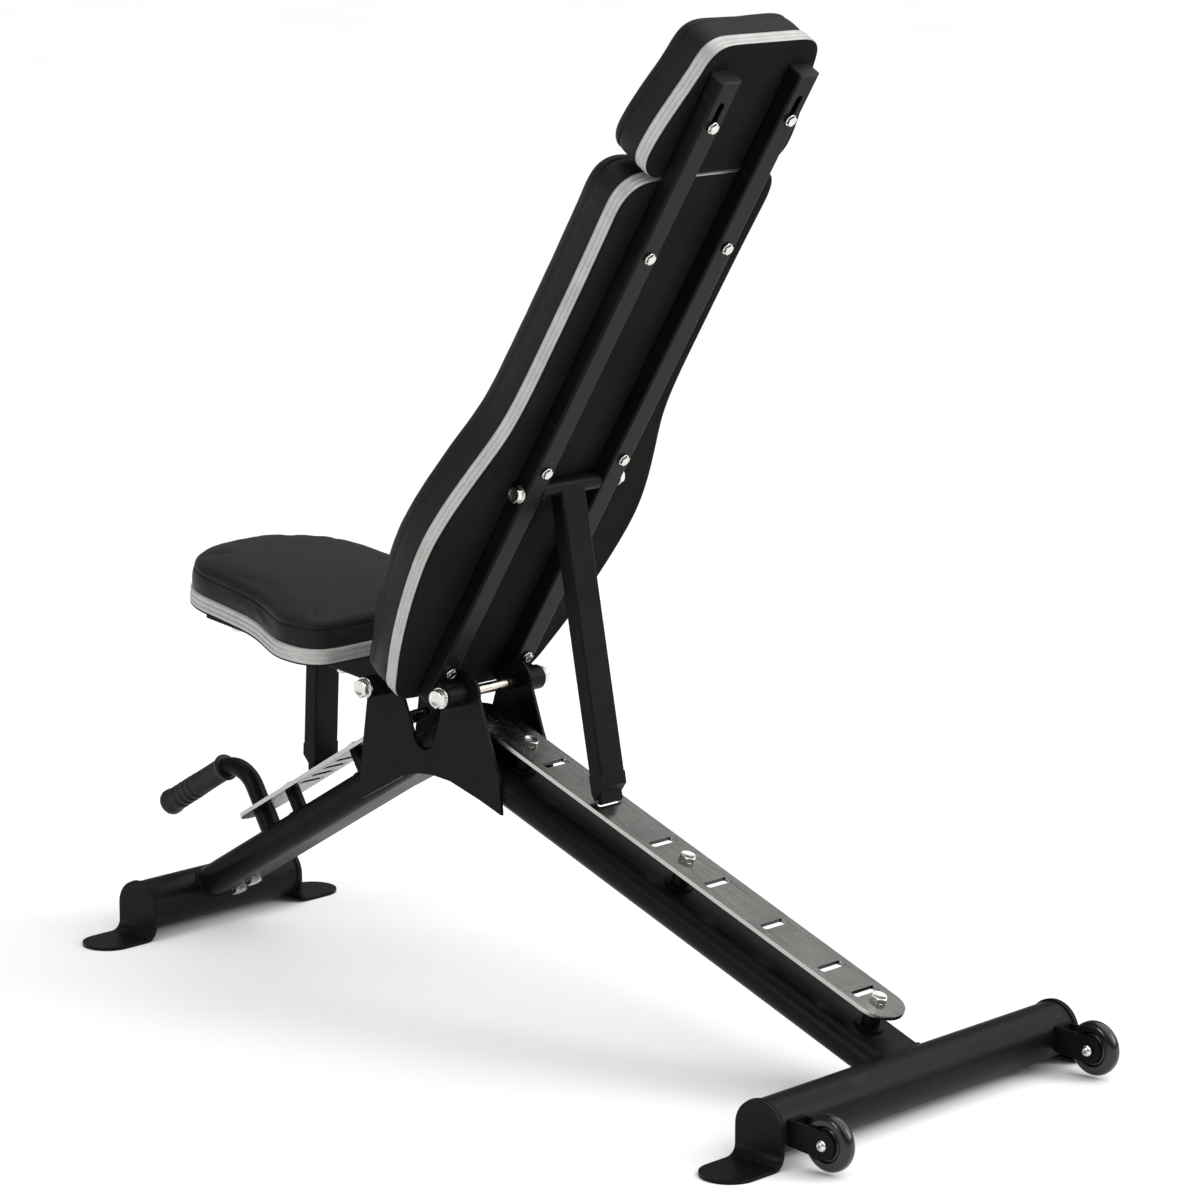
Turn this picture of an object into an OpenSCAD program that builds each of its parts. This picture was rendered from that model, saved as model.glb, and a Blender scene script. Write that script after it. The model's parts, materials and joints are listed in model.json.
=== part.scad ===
// Adjustable weight bench: two sloping main tubes on cross tubes, a hinged backrest and seat that
// are propped on slotted ladder plates, and a pair of transport wheels.
// Millimetres, Z up, origin on the floor under the middle of the bench; the seat end faces -Y.

/* [Base] */
// Distance between the centres of the front and rear cross tubes
wheelbase = 1095; // [1000:5:1200]
// How far the front cross tube lies ahead of the origin
front_reach = 557; // [500:1:600]
// Diameter of both cross tubes
cross_d = 60; // [50:1:70]
// Height of the cross tubes' centre line
cross_z = 36; // [34:1:42]
// Length of the front cross tube
front_cross_len = 232; // [200:2:400]
// Length of the rear cross tube
rear_cross_len = 481; // [400:1:600]
// Width of the flat-oval main tubes
main_w = 80; // [70:1:90]
// Depth of the flat-oval main tubes
main_d = 38; // [34:1:44]
// Slope of the front main tube
front_slope = 30.9; // [28:0.1:33]
// Slope of the rear main tube
rear_slope = 20.9; // [19:0.1:23]
// Wall of the tubes
wall = 2; // [1.5:0.5:3]

/* [Feet] */
// Thickness of the bent foot plates
foot_t = 4; // [3:0.5:6]
// How far a foot reaches past its plate
foot_reach = 75; // [60:1:90]
// Width of a foot plate
foot_w = 63; // [60:1:70]
// Bend radius of a foot plate, on its outside face
foot_bend = 16; // [8:1:20]

/* [Ladders] */
// Width of the slotted ladder plates
ladder_w = 57; // [50:1:64]
// Thickness of the ladder plates
ladder_t = 5; // [4:0.5:6]
// Height of the posts that carry the ladders
post_h = 26.8; // [20:0.1:32]
// Diameter of the posts
post_d = 20; // [16:1:25]
// Distance between the regular slots of the rear ladder
rear_pitch = 86.5; // [80:0.5:90]
// Distance between the slots of the front ladder
front_pitch = 23.5; // [20:0.5:26]
// Length of a slot across the rear ladder
slot_len = 37; // [34:1:42]
// Width of a slot
slot_w = 10; // [9:0.5:14]

/* [Pivots] */
// Height of the seat pivot
seat_pivot_z = 352; // [340:1:365]
// Height of the backrest pivot
back_pivot_z = 358.5; // [350:0.5:370]
// Thickness of the pivot plates
plate_t = 4; // [3:0.5:6]
// Diameter of the pivot bolts
pivot_d = 12; // [10:1:14]
// Running clearance of a pin in its bush, on the radius
running = 0.08; // [0.03:0.01:0.1]

/* [Backrest] */
// Angle of the backrest above horizontal
back_angle = 58.5; // [55:0.5:62]
// Width of a rail
rail_w = 30; // [25:1:34]
// Depth of a backrest rail
rail_d = 20; // [18:1:25]
// Distance from the centre plane to the middle of a backrest rail
rail_x = 61; // [60:1:66]
// Thickness of the pads, without their boards
pad_t = 50; // [40:1:55]
// Thickness of the boards behind the pads
board_t = 12; // [9:1:15]
// Travel of the headrest along the rails
head_travel = 25; // [15:1:30]

/* [Seat] */
// Angle by which the front of the seat is raised
seat_angle = 7.3; // [5:0.1:9]
// Width of a seat rail
seat_rail_w = 20; // [18:1:24]
// Depth of a seat rail
seat_rail_d = 30; // [26:1:34]
// Distance from the centre plane to the middle of a seat rail
seat_rail_x = 56; // [55.5:0.5:60]

/* [Props] */
// Width of the prop tubes
prop_w = 38; // [34:1:42]
// Depth of the prop tubes
prop_d = 19; // [16:1:19]
// Thickness of the tongues that reach into the slots
tongue_t = 6; // [5:0.5:8]
// Gap between a tongue's tip and the ladder it stands on
tongue_gap = 0.6; // [0.5:0.1:1]

/* [Wheels] */
// Diameter of the transport wheels
wheel_d = 60; // [50:1:62]
// Width of the wheels
wheel_w = 16; // [14:1:28]
// Distance from the centre plane to the middle of a wheel
wheel_x = 219; // [210:1:222]

/* [Handle] */
// Diameter of the handle tube
handle_d = 22; // [19:1:24]
// Bend radius of the handle tube
handle_bend = 40; // [34:1:46]
// Length of the rubber grip
grip_len = 118.2; // [100:0.1:120]

/* [Hidden] */
$fn = 48;

// Places of the base, as [y, z]
front_y = -front_reach;
rear_y = wheelbase - front_reach;
front_axis_lift = 4;
front_axis_z = cross_z + front_axis_lift;
cross_r = cross_d / 2;
// Where the axes of the two main tubes meet
apex_y = (cross_z - front_axis_z + rear_y * tan(rear_slope) + front_y * tan(front_slope))
  / (tan(front_slope) + tan(rear_slope));
apex_z = front_axis_z + (apex_y - front_y) * tan(front_slope);
front_axis_len = (apex_y - front_y) / cos(front_slope);
rear_axis_len = (rear_y - apex_y) / cos(rear_slope);
seat_pivot_y = apex_y - 68;
back_pivot_y = apex_y + 53.5;

// Ladder heights above a main tube's axis
ladder_low = main_d / 2 + post_h;
ladder_top = ladder_low + ladder_t;
// Along the rear tube's axis, measured from the rear cross tube
rear_bolt_at = 71;
rear_ladder_bolts_at = [for (s = [0, 290, 544]) rear_bolt_at + s];
rear_slots_at = concat([rear_bolt_at + 19], [for (i = [0:5]) rear_bolt_at + 69 + i * rear_pitch]);
rear_ladder_end = 709;
// Along the front tube's axis, measured from the front cross tube
handle_at = 139.5;
front_post_at = [200, 330];
// Bolts of the joint at the front end of the main tube
joint_bolts_at = [44, 75];
front_slots_at = [for (i = [0:3]) 237.5 + i * front_pitch];
front_ladder_end = 455;
front_slot_len = slot_len - 3;
front_slot_w = slot_w - 1;
// Ladder bolts are M10, pad bolts M8
m10_r = 5;
m10_head_af = 17;
m10_head_h = 6.4;
m8_r = 4;
m8_head_af = 13;
m8_head_h = 5.3;
m12_head_af = 19;
m12_head_h = 7.5;
washer_t = 2.5;
hole_play = 0.1;

// Pivot bolt stack, outward from the centre plane
plate_in = main_w / 2;
plate_out = plate_in + plate_t;
bush_gap = 0.5;
bush_len = 32;
bush_in = plate_out + bush_gap;
bush_out = bush_in + bush_len;
washer_in = bush_out + bush_gap;
head_in = washer_in + washer_t;
back_bush_d = 28;
seat_bush_d = 25;

// Backrest frame: origin at the pivot, Y up along the rails, Z towards the pad
rail_back = 15.5;
rail_front = rail_back + rail_d;
rail_low = -19;
rail_high = 815;
board_gap = 0.3;
head_z = rail_front + board_gap;
back_bolts_at = [21, 307, 595];
head_bolt_at = 762;
back_prop_at = 272;
// Seat frame: origin at the pivot, Y rearward along the rails, Z up
seat_rail_low = 2.2;
seat_rail_top = seat_rail_low + seat_rail_d;
seat_rail_front = -281;
seat_rail_rear = 14;
seat_prop_at = -154;
seat_bolts_at = [-60, -240];
// Covers and trim bands of the pads
cover_t = 1.5;
band_t = 4;
seat_pad_t = pad_t - 8;

// A point of the backrest, the seat or a ladder, as [y, z] in the bench's frame
function turned(a, y, z) = [y * cos(a) - z * sin(a), y * sin(a) + z * cos(a)];
function back_point(y, z) = [back_pivot_y, back_pivot_z] + turned(back_angle, y, z);
function seat_point(y, z) = [seat_pivot_y, seat_pivot_z] + turned(-seat_angle, y, z);
function front_point(s, h) = [front_y, front_axis_z] + turned(front_slope, s, h);
function rear_point(s, h) = [rear_y, cross_z] + turned(-rear_slope, -s, h);

// Props: from the hinge to the middle of the tongue's rounded tip
tip_h = ladder_top + tongue_gap + tongue_t / 2;
back_hinge = back_point(back_prop_at, rail_back + rail_d / 2);
back_tip = rear_point(rear_slots_at[5] - 2, tip_h);
back_prop_len = norm(back_tip - back_hinge);
back_prop_lean = atan2(back_tip[0] - back_hinge[0], back_hinge[1] - back_tip[1]);
seat_hinge = seat_point(seat_prop_at, seat_rail_low + seat_rail_d / 2);
seat_tip = front_point(front_slots_at[1] - 1, tip_h);
seat_prop_len = norm(seat_tip - seat_hinge);
seat_prop_lean = atan2(seat_tip[0] - seat_hinge[0], seat_hinge[1] - seat_tip[1]);
prop_sleeve_d = 20;
tongue_w = 33;
tongue_len = 22;

// Pad outlines: half widths at distances along the rails, joined by a smooth curve
back_side = [[0, 116], [45, 133], [100, 148], [155, 158], [200, 161], [245, 154], [295, 139],
  [345, 123], [395, 117], [470, 116], [560, 116], [645, 118]];
back_low = -30;
back_high = 680;
back_corner_low = 34;
back_corner_high = 32;
head_low = 686;
head_high = 848;
head_side = [[712, 110], [743, 106], [777, 97], [817, 86]];
head_corner = 26;
seat_rear = -8;
seat_front = -316;
seat_corner = 34;
seat_mid = (seat_front + seat_rear) / 2;
back_mid = (back_low + back_high) / 2;
head_mid = (head_low + head_high) / 2;
seat_side = [[-42, 160], [-62, 161], [-90, 150], [-120, 137], [-155, 128], [-226, 121]];

// Catmull-Rom curve through a list of [place, half width]
function knot(p, i) = p[max(0, min(len(p) - 1, i))];
function spline(a, b, c, d, t) = 0.5 * (2 * b + (c - a) * t + (2 * a - 5 * b + 4 * c - d) * t * t
  + (3 * b - a - 3 * c + d) * t * t * t);
function smooth(p, steps) = concat(
  [for (i = [0:len(p) - 2], k = [0:steps - 1])
    spline(knot(p, i - 1), knot(p, i), knot(p, i + 1), knot(p, i + 2), k / steps)],
  [p[len(p) - 1]]);
// Quarter of an ellipse from angle a0 to a1
function bend(cx, cy, rx, ry, a0, a1, steps) =
  [for (k = [0:steps]) [cx + rx * cos(a0 + (a1 - a0) * k / steps),
    cy + ry * sin(a0 + (a1 - a0) * k / steps)]];
function swapped(p) = [for (q = p) [q[1], q[0]]];
function reversed(p) = [for (i = [len(p) - 1:-1:0]) p[i]];
function both_sides(p) = concat(p, [for (q = reversed(p)) [-q[0], q[1]]]);
function shrunk(p, by, mid) = [for (q = p) [q[0] * (1 - by / 130), mid + (q[1] - mid) * (1 - by / 320)]];

back_half = concat(
  bend(back_side[0][1] - back_corner_low, back_low + back_corner_low,
    back_corner_low, back_corner_low, -90, -8, 8),
  swapped(smooth(back_side, 4)),
  bend(back_side[11][1] - back_corner_high, back_high - back_corner_high,
    back_corner_high, back_corner_high, 0, 90, 8));
head_half = concat(
  bend(head_side[0][1] - head_corner, head_low + head_corner, head_corner, head_corner, -90, -5, 8),
  swapped(smooth(head_side, 4)),
  bend(head_side[3][1] - head_corner, head_high - head_corner, head_corner, head_corner, 5, 90, 8));
seat_half = concat(
  bend(seat_side[0][1] - seat_corner, seat_rear - seat_corner, seat_corner, seat_corner, 90, 8, 8),
  swapped(smooth(seat_side, 4)),
  bend(0, seat_side[5][0], seat_side[5][1], seat_side[5][0] - seat_front, -5, -88, 14));

// --- Building blocks ---

module front_frame() {
  translate([0, front_y, front_axis_z])
    rotate([front_slope, 0, 0])
      children();
}

// Local -Y runs up the rear tube
module rear_frame() {
  translate([0, rear_y, cross_z])
    rotate([-rear_slope, 0, 0])
      children();
}

module back_frame() {
  translate([0, back_pivot_y, back_pivot_z])
    rotate([back_angle, 0, 0])
      children();
}

module seat_frame() {
  translate([0, seat_pivot_y, seat_pivot_z])
    rotate([-seat_angle, 0, 0])
      children();
}

// Local -Z runs down the prop
module prop_frame(hinge, lean) {
  translate([0, hinge[0], hinge[1]])
    rotate([lean, 0, 0])
      children();
}

// A cylinder along X from x0 to x1
module x_rod(x0, x1, d, fn = 48) {
  translate([x0, 0, 0])
    rotate([0, 90, 0])
      cylinder(h = x1 - x0, d = d, $fn = fn);
}

module x_hex(x0, x1, af) {
  x_rod(x0, x1, af / cos(30), 6);
}

module round_rect(w, h, r) {
  square([w - 2 * r, h], center = true);
  square([w, h - 2 * r], center = true);
  for (x = [-1, 1], y = [-1, 1])
    translate([x * (w / 2 - r), y * (h / 2 - r)])
      circle(r);
}

module oval(w, d) {
  square([w - d, d], center = true);
  for (x = [-1, 1])
    translate([x * (w - d) / 2, 0])
      circle(d = d, $fn = 64);
}

// A rectangular tube along +Y from y0 to y1, with its lower face on Z = 0
module rail_tube(w, d, y0, y1) {
  translate([0, y1, d / 2])
    rotate([90, 0, 0])
      linear_extrude(y1 - y0)
        difference() {
          round_rect(w, d, 3);
          round_rect(w - 2 * wall, d - 2 * wall, 1);
        }
}

// A ladder plate along Y with round ends, centred on X
module ladder_blank(y0, y1) {
  r = ladder_w / 2;
  translate([-r, y0 + r, 0])
    cube([ladder_w, y1 - y0 - ladder_w, ladder_t]);
  for (y = [y0 + r, y1 - r])
    translate([0, y, 0])
      cylinder(h = ladder_t, r = r, $fn = 96);
}

module slot_cut(len, w, h) {
  translate([0, 0, -1])
    linear_extrude(h + 2)
      round_rect(len, w, 3);
}

// A hex bolt standing on Z = 0 with its shank below
module hex_bolt(af, head_h, r, shank) {
  cylinder(h = head_h, d = af / cos(30), $fn = 6);
  translate([0, 0, -shank])
    cylinder(h = shank, r = r);
}

// --- Cross tubes and feet ---

module cross_tube(y, len) {
  translate([0, y, cross_z])
    difference() {
      x_rod(-len / 2, len / 2, cross_d, 96);
      x_rod(-len / 2 - 1, len / 2 + 1, cross_d - 2 * wall, 96);
    }
}

module front_cross_tube() {
  color("#1c1c1c") cross_tube(front_y, front_cross_len);
}

module rear_cross_tube() {
  color("#1c1c1c") cross_tube(rear_y, rear_cross_len);
}

// The side view of a foot: a plate that bends outward and lies on the floor
module foot_profile(x0) {
  top = cross_z + foot_w / 2;
  inner = foot_bend - foot_t;
  translate([x0, foot_bend])
    square([foot_t, top - foot_bend]);
  translate([x0 + foot_bend, 0])
    square([foot_t + foot_reach - foot_bend, foot_t]);
  intersection() {
    translate([x0, 0])
      square(foot_bend);
    difference() {
      translate([x0 + foot_bend, foot_bend])
        circle(foot_bend, $fn = 64);
      translate([x0 + foot_bend, foot_bend])
        circle(inner, $fn = 64);
    }
  }
}

// The foot of the +X side; the other side is its mirror image
module foot(y, x0) {
  r = foot_w / 2;
  tip = x0 + foot_t + foot_reach;
  translate([0, y, 0])
    intersection() {
      translate([0, r, 0])
        rotate([90, 0, 0])
          linear_extrude(foot_w)
            foot_profile(x0);
      union() {
        translate([x0 - 1, 0, cross_z])
          x_rod(0, foot_t + 2, foot_w, 96);
        translate([x0 - 1, -r, -1])
          cube([tip - x0 + 1 - r, foot_w, cross_z + 1]);
        translate([tip - r, 0, -1])
          cylinder(h = cross_z, r = r, $fn = 96);
      }
    }
}

module front_foot_left() {
  color("#202020") foot(front_y, front_cross_len / 2);
}

module front_foot_right() {
  color("#202020") mirror([1, 0, 0]) foot(front_y, front_cross_len / 2);
}

module rear_foot_left() {
  color("#202020") foot(rear_y, rear_cross_len / 2);
}

module rear_foot_right() {
  color("#202020") mirror([1, 0, 0]) foot(rear_y, rear_cross_len / 2);
}

// --- Main tubes ---

module oval_tube(len) {
  rotate([90, 0, 0])
    linear_extrude(len)
      difference() {
        oval(main_w, main_d);
        oval(main_w - 2 * wall, main_d - 2 * wall);
      }
}

module cross_cut(y) {
  translate([0, y, cross_z])
    x_rod(-main_w, main_w, cross_d, 96);
}

module apex_half(side) {
  y0 = side > 0 ? apex_y : front_y - 100;
  y1 = side > 0 ? rear_y + 100 : apex_y;
  translate([-main_w, y0, -50])
    cube([2 * main_w, y1 - y0, 500]);
}

module front_main_tube() {
  color("#1c1c1c")
    difference() {
      intersection() {
        front_frame()
          translate([0, front_axis_len + 40, 0])
            oval_tube(front_axis_len + 40);
        apex_half(-1);
      }
      cross_cut(front_y);
      front_frame()
        for (s = front_post_at)
          translate([0, s, 0])
            cylinder(h = main_d, r = m10_r + hole_play);
      front_frame()
        for (s = joint_bolts_at)
          translate([0, s, -main_d])
            cylinder(h = main_d, r = m10_r + hole_play);
    }
}

module rear_main_tube() {
  color("#1c1c1c")
    difference() {
      intersection() {
        rear_frame()
          oval_tube(rear_axis_len + 40);
        apex_half(1);
      }
      cross_cut(rear_y);
      rear_frame()
        for (s = rear_ladder_bolts_at)
          translate([0, -s, 0])
            cylinder(h = main_d, r = m10_r + hole_play);
    }
}

// --- Pivot plates ---

// Outline of a pivot plate as [y, z] from the apex
module plate_outline() {
  seat_at = [seat_pivot_y - apex_y, seat_pivot_z - apex_z];
  back_at = [back_pivot_y - apex_y, back_pivot_z - apex_z];
  seat_lobe = 29;
  back_lobe = 26;
  notch_r = 17.5;
  notch_at = [-8, 8];
  difference() {
    union() {
      translate(seat_at)
        circle(seat_lobe, $fn = 96);
      translate(back_at)
        circle(back_lobe, $fn = 96);
      polygon([seat_at + [-seat_lobe, 0], [-109, -22], [-113, -52], [-110, -83], [-44, -46],
        [-21, -38.5], [4, -36.5], [33, -39], [80, -53], [114, -65], [110, -20], [95, 18],
        back_at + [back_lobe, -3], back_at + [0, 0], back_at + [-back_lobe, 0],
        seat_at + [seat_lobe, 0]]);
    }
    translate(notch_at)
      circle(notch_r, $fn = 96);
    polygon([notch_at + [-notch_r, 0], notch_at + [notch_r, 0],
      back_at + [-back_lobe + 0.4, 0], back_at + [-back_lobe + 0.4, 40],
      seat_at + [seat_lobe - 13, 40], seat_at + [seat_lobe - 7, 0]]);
    for (at = [seat_at, back_at])
      translate(at)
        circle(pivot_d / 2 + hole_play, $fn = 64);
  }
}

module pivot_plate() {
  translate([plate_in, apex_y, apex_z])
    rotate([90, 0, 90])
      linear_extrude(plate_t)
        plate_outline();
}

module pivot_plate_left() {
  color("#1e1e1e") pivot_plate();
}

module pivot_plate_right() {
  color("#1e1e1e") mirror([1, 0, 0]) pivot_plate();
}

// --- Ladders ---

module rear_ladder() {
  color("#b9b8b4")
    rear_frame()
      translate([0, 0, ladder_low])
        difference() {
          ladder_blank(-rear_ladder_end, -rear_bolt_at + ladder_w / 2 + 2);
          for (s = rear_slots_at)
            translate([0, -s, 0])
              slot_cut(slot_len, slot_w, ladder_t);
          for (s = rear_ladder_bolts_at)
            translate([0, -s, -1])
              cylinder(h = ladder_t + 2, r = m10_r + hole_play);
        }
}

module front_ladder() {
  color("#b9b8b4")
    front_frame()
      translate([0, 0, ladder_low])
        difference() {
          ladder_blank(handle_at - ladder_w / 2 - 1, front_ladder_end);
          for (s = front_slots_at)
            translate([0, s, 0])
              slot_cut(front_slot_len, front_slot_w, ladder_t);
          for (s = front_post_at)
            translate([0, s, -1])
              cylinder(h = ladder_t + 2, r = m10_r + hole_play);
          translate([0, handle_at, -1])
            cylinder(h = ladder_t + 2, d = handle_d + 2 * hole_play);
        }
}

// A post with a foot flange, bored for its bolt
module post(d) {
  difference() {
    union() {
      cylinder(h = post_h, d = d);
      cylinder(h = 3, d = d + 12);
    }
    translate([0, 0, -1])
      cylinder(h = post_h + 2, r = m10_r + hole_play);
  }
}

module rear_ladder_posts() {
  color("#1c1c1c")
    rear_frame()
      for (s = rear_ladder_bolts_at)
        translate([0, -s, main_d / 2])
          post(post_d);
}

module front_ladder_posts() {
  color("#1c1c1c")
    front_frame()
      for (s = front_post_at)
        translate([0, s, main_d / 2])
          post(post_d - 2);
}

module rear_ladder_bolts() {
  color("#d4d4d2")
    rear_frame()
      for (s = rear_ladder_bolts_at)
        translate([0, -s, ladder_top])
          hex_bolt(m10_head_af, m10_head_h, m10_r, ladder_t + post_h + 8);
}

module front_ladder_bolts() {
  color("#d4d4d2")
    front_frame()
      for (s = front_post_at)
        translate([0, s, ladder_top])
          hex_bolt(m10_head_af, m10_head_h, m10_r, ladder_t + post_h + 8);
}

// --- Joint bolts under the front of the main tube ---

module front_joint_bolts() {
  color("#d4d4d2")
    front_frame()
      for (s = joint_bolts_at)
        translate([0, s, -main_d / 2])
          rotate([180, 0, 0])
            hex_bolt(m10_head_af, m10_head_h, m10_r, wall + 8);
}

// --- Handle ---

grip_h = 115 - main_d / 2;
grip_d = 29;

module handle_tube() {
  color("#1c1c1c")
    front_frame()
      translate([0, handle_at, main_d / 2]) {
        cylinder(h = post_h, d = handle_d + 4);
        cylinder(h = grip_h - handle_bend, d = handle_d);
        translate([0, -handle_bend, grip_h - handle_bend])
          rotate([90, 0, 90])
            rotate_extrude(angle = 90, $fn = 96)
              translate([handle_bend, 0])
                circle(d = handle_d, $fn = 48);
        translate([0, -handle_bend, grip_h])
          rotate([90, 0, 0])
            cylinder(h = grip_len - 4, d = handle_d);
      }
}

// Rubber sleeve with a collar at each end, a closed end and shallow rings
module handle_grip() {
  rings = 3;
  color("#161616")
    front_frame()
      translate([0, handle_at - handle_bend, main_d / 2 + grip_h])
        rotate([90, 0, 0])
          difference() {
            union() {
              cylinder(h = grip_len, d = grip_d);
              cylinder(h = 5, d = grip_d + 4);
              translate([0, 0, grip_len - 6])
                cylinder(h = 6, d = grip_d + 3);
            }
            translate([0, 0, -1])
              cylinder(h = grip_len - 3, d = handle_d + 2 * hole_play);
            for (i = [0:rings - 1])
              translate([0, 0, 62 + i * 12])
                difference() {
                  cylinder(h = 2, d = grip_d + 2);
                  translate([0, 0, -1])
                    cylinder(h = 4, d = grip_d - 2);
                }
          }
}

// --- Transport wheels ---

wheel_back = 72.5;
wheel_z = cross_z - 3;
axle_d = 8;
bush_d = 13;
fork_t = 3;
fork_in = wheel_w / 2 + 1.5;
fork_out = fork_in + fork_t;

module at_wheel() {
  translate([wheel_x, rear_y + wheel_back, wheel_z])
    children();
}

// Two arms on a base that is fitted to the cross tube
module wheel_fork() {
  arm_h = 27;
  end_r = 15;
  difference() {
    at_wheel() {
      for (side = [-1, 1])
        translate([side > 0 ? fork_in : -fork_out, 0, 0])
          rotate([90, 0, 90])
            linear_extrude(fork_t)
              difference() {
                union() {
                  circle(end_r);
                  polygon([[0, end_r], [-wheel_back + cross_r - 8, arm_h / 2 + 4],
                    [-wheel_back + cross_r - 8, -arm_h / 2 + 4], [0, -end_r]]);
                }
                circle(d = axle_d + 2 * hole_play);
              }
      translate([-fork_in, -wheel_back + cross_r - 8, -arm_h / 2 + 4])
        cube([2 * fork_in, 8 + fork_t, arm_h]);
    }
    translate([0, rear_y, cross_z])
      x_rod(0, rear_cross_len, cross_d, 96);
  }
}

module wheel_axle() {
  at_wheel() {
    x_rod(-fork_out - 7, fork_out, axle_d);
    x_hex(fork_out, fork_out + m8_head_h, m8_head_af);
    x_hex(-fork_out - 6.5, -fork_out, m8_head_af);
  }
}

module wheel_bush() {
  at_wheel()
    difference() {
      x_rod(-wheel_w / 2 - 1, wheel_w / 2 + 1, bush_d);
      x_rod(-wheel_w, wheel_w, axle_d + 2 * running);
    }
}

// A wheel with a rounded tread and a dished side
module wheel() {
  r = wheel_d / 2;
  round_r = 7;
  half = wheel_w / 2;
  at_wheel()
    rotate([0, 90, 0])
      rotate_extrude($fn = 96)
        difference() {
          union() {
            translate([bush_d / 2, -half])
              square([r - bush_d / 2 - round_r, wheel_w]);
            translate([r - round_r, -half + round_r])
              square([round_r, wheel_w - 2 * round_r]);
            for (side = [-1, 1])
              translate([r - round_r, side * (half - round_r)])
                circle(round_r, $fn = 48);
          }
          for (side = [-1, 1])
            translate([17, side * half])
              circle(2.5, $fn = 32);
        }
}

module wheel_fork_left() {
  color("#1c1c1c") wheel_fork();
}

module wheel_fork_right() {
  color("#1c1c1c") mirror([1, 0, 0]) wheel_fork();
}

module wheel_axles() {
  color("#d4d4d2")
    for (side = [0, 1])
      mirror([side, 0, 0])
        wheel_axle();
}

module wheel_left() {
  color("#0e0e0e") wheel();
}

module wheel_right() {
  color("#0e0e0e") mirror([1, 0, 0]) wheel();
}

module wheel_bush_left() {
  color("#a89a6a") wheel_bush();
}

module wheel_bush_right() {
  color("#a89a6a") mirror([1, 0, 0]) wheel_bush();
}

// --- Pivot bolts ---

nut_h = 10;

// A through bolt with its head on the +X side and its nut on the other
module through_bolt(face, d, af, head_h, nut) {
  x_rod(-face - nut - 3, face, d, 64);
  x_hex(face, face + head_h, af);
  x_hex(-face - nut, -face, af);
}

module stack_washers(d) {
  for (side = [0, 1])
    mirror([side, 0, 0])
      difference() {
        x_rod(washer_in, head_in, d);
        x_rod(washer_in - 1, head_in + 1, pivot_d + 2 * hole_play);
      }
}

module stack_spacer() {
  difference() {
    x_rod(-plate_in, -plate_in + 16, pivot_d + 3);
    x_rod(-plate_in - 1, -plate_in + 17, pivot_d + 2 * hole_play);
  }
}

module back_pivot() {
  translate([0, back_pivot_y, back_pivot_z])
    children();
}

module seat_pivot() {
  translate([0, seat_pivot_y, seat_pivot_z])
    children();
}

module back_pivot_bolt() {
  color("#d4d4d2") back_pivot() through_bolt(head_in, pivot_d, m12_head_af, m12_head_h, nut_h);
}

module seat_pivot_bolt() {
  color("#d4d4d2") seat_pivot() through_bolt(head_in, pivot_d, m12_head_af, m12_head_h, nut_h);
}

module pivot_washers() {
  color("#c9c9c6") {
    back_pivot() stack_washers(24);
    seat_pivot() stack_washers(24);
  }
}

module pivot_spacers() {
  color("#c2c2be") {
    back_pivot() stack_spacer();
    seat_pivot() stack_spacer();
  }
}

// --- Backrest ---

prop_pin_d = 10;

module pin_hole(x0, x1, d) {
  x_rod(x0, x1, d, 64);
}

module back_rail() {
  difference() {
    union() {
      translate([rail_x, 0, rail_back])
        rail_tube(rail_w, rail_d, rail_low, rail_high);
      x_rod(bush_in, bush_out, back_bush_d, 64);
      translate([rail_x - rail_w / 2 + 3, -10, 6])
        cube([rail_w - 6, 20, rail_back - 6 + wall / 2]);
    }
    pin_hole(0, 2 * rail_x, pivot_d + 2 * running);
    translate([0, back_prop_at, rail_back + rail_d / 2])
      pin_hole(0, 2 * rail_x, prop_pin_d + 2 * hole_play);
    for (t = back_bolts_at)
      translate([rail_x, t, 0])
        cylinder(h = 60, r = m8_r + hole_play);
    translate([rail_x, head_bolt_at, 0])
      linear_extrude(60)
        translate([0, head_travel / 2]) {
          square([2 * m8_r + 1, head_travel], center = true);
          for (y = [-1, 1])
            translate([0, y * head_travel / 2])
              circle(m8_r + 0.5);
        }
  }
}

module back_rail_left() {
  color("#1d1d1d") back_frame() back_rail();
}

module back_rail_right() {
  color("#1d1d1d") back_frame() mirror([1, 0, 0]) back_rail();
}

// Plugs in the open ends of a pair of rails, with a flange of the tube's own size
module end_caps(x, w, d, z, ends) {
  for (side = [-1, 1], e = ends)
    translate([side * x, e[0], z + d / 2])
      rotate([e[1] > 0 ? -90 : 90, 0, 0]) {
        linear_extrude(3)
          round_rect(w, d, 3);
        translate([0, 0, -10])
          linear_extrude(10)
            round_rect(w - 2 * wall - 0.4, d - 2 * wall - 0.4, 1);
      }
}

module back_rail_caps() {
  color("#141414")
    back_frame()
      end_caps(rail_x, rail_w, rail_d, rail_back, [[rail_low, -1], [rail_high, 1]]);
}

// A slab of a pad outline from z0 to z1
module slab(half, z0, z1, by, mid) {
  translate([0, 0, z0])
    linear_extrude(z1 - z0)
      polygon(both_sides(shrunk(half, by, mid)));
}

module board_holes(places, z) {
  for (side = [-1, 1], t = places)
    translate([side * rail_x, t, z - 1])
      cylinder(h = board_t + 2, r = m8_r + hole_play);
}

module back_board() {
  color("#171513")
    back_frame()
      difference() {
        slab(back_half, rail_front, rail_front + board_t, band_t, back_mid);
        board_holes(back_bolts_at, rail_front);
      }
}

// The foam of a pad, and the cover that is stretched over its front and sides
module foam(half, z, t, mid) {
  slab(half, z, z + t - cover_t, cover_t, mid);
}

module cover(half, z, t, mid) {
  difference() {
    slab(half, z, z + t, 0, mid);
    slab(half, z - 1, z + t - cover_t, cover_t, mid);
  }
}

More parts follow.
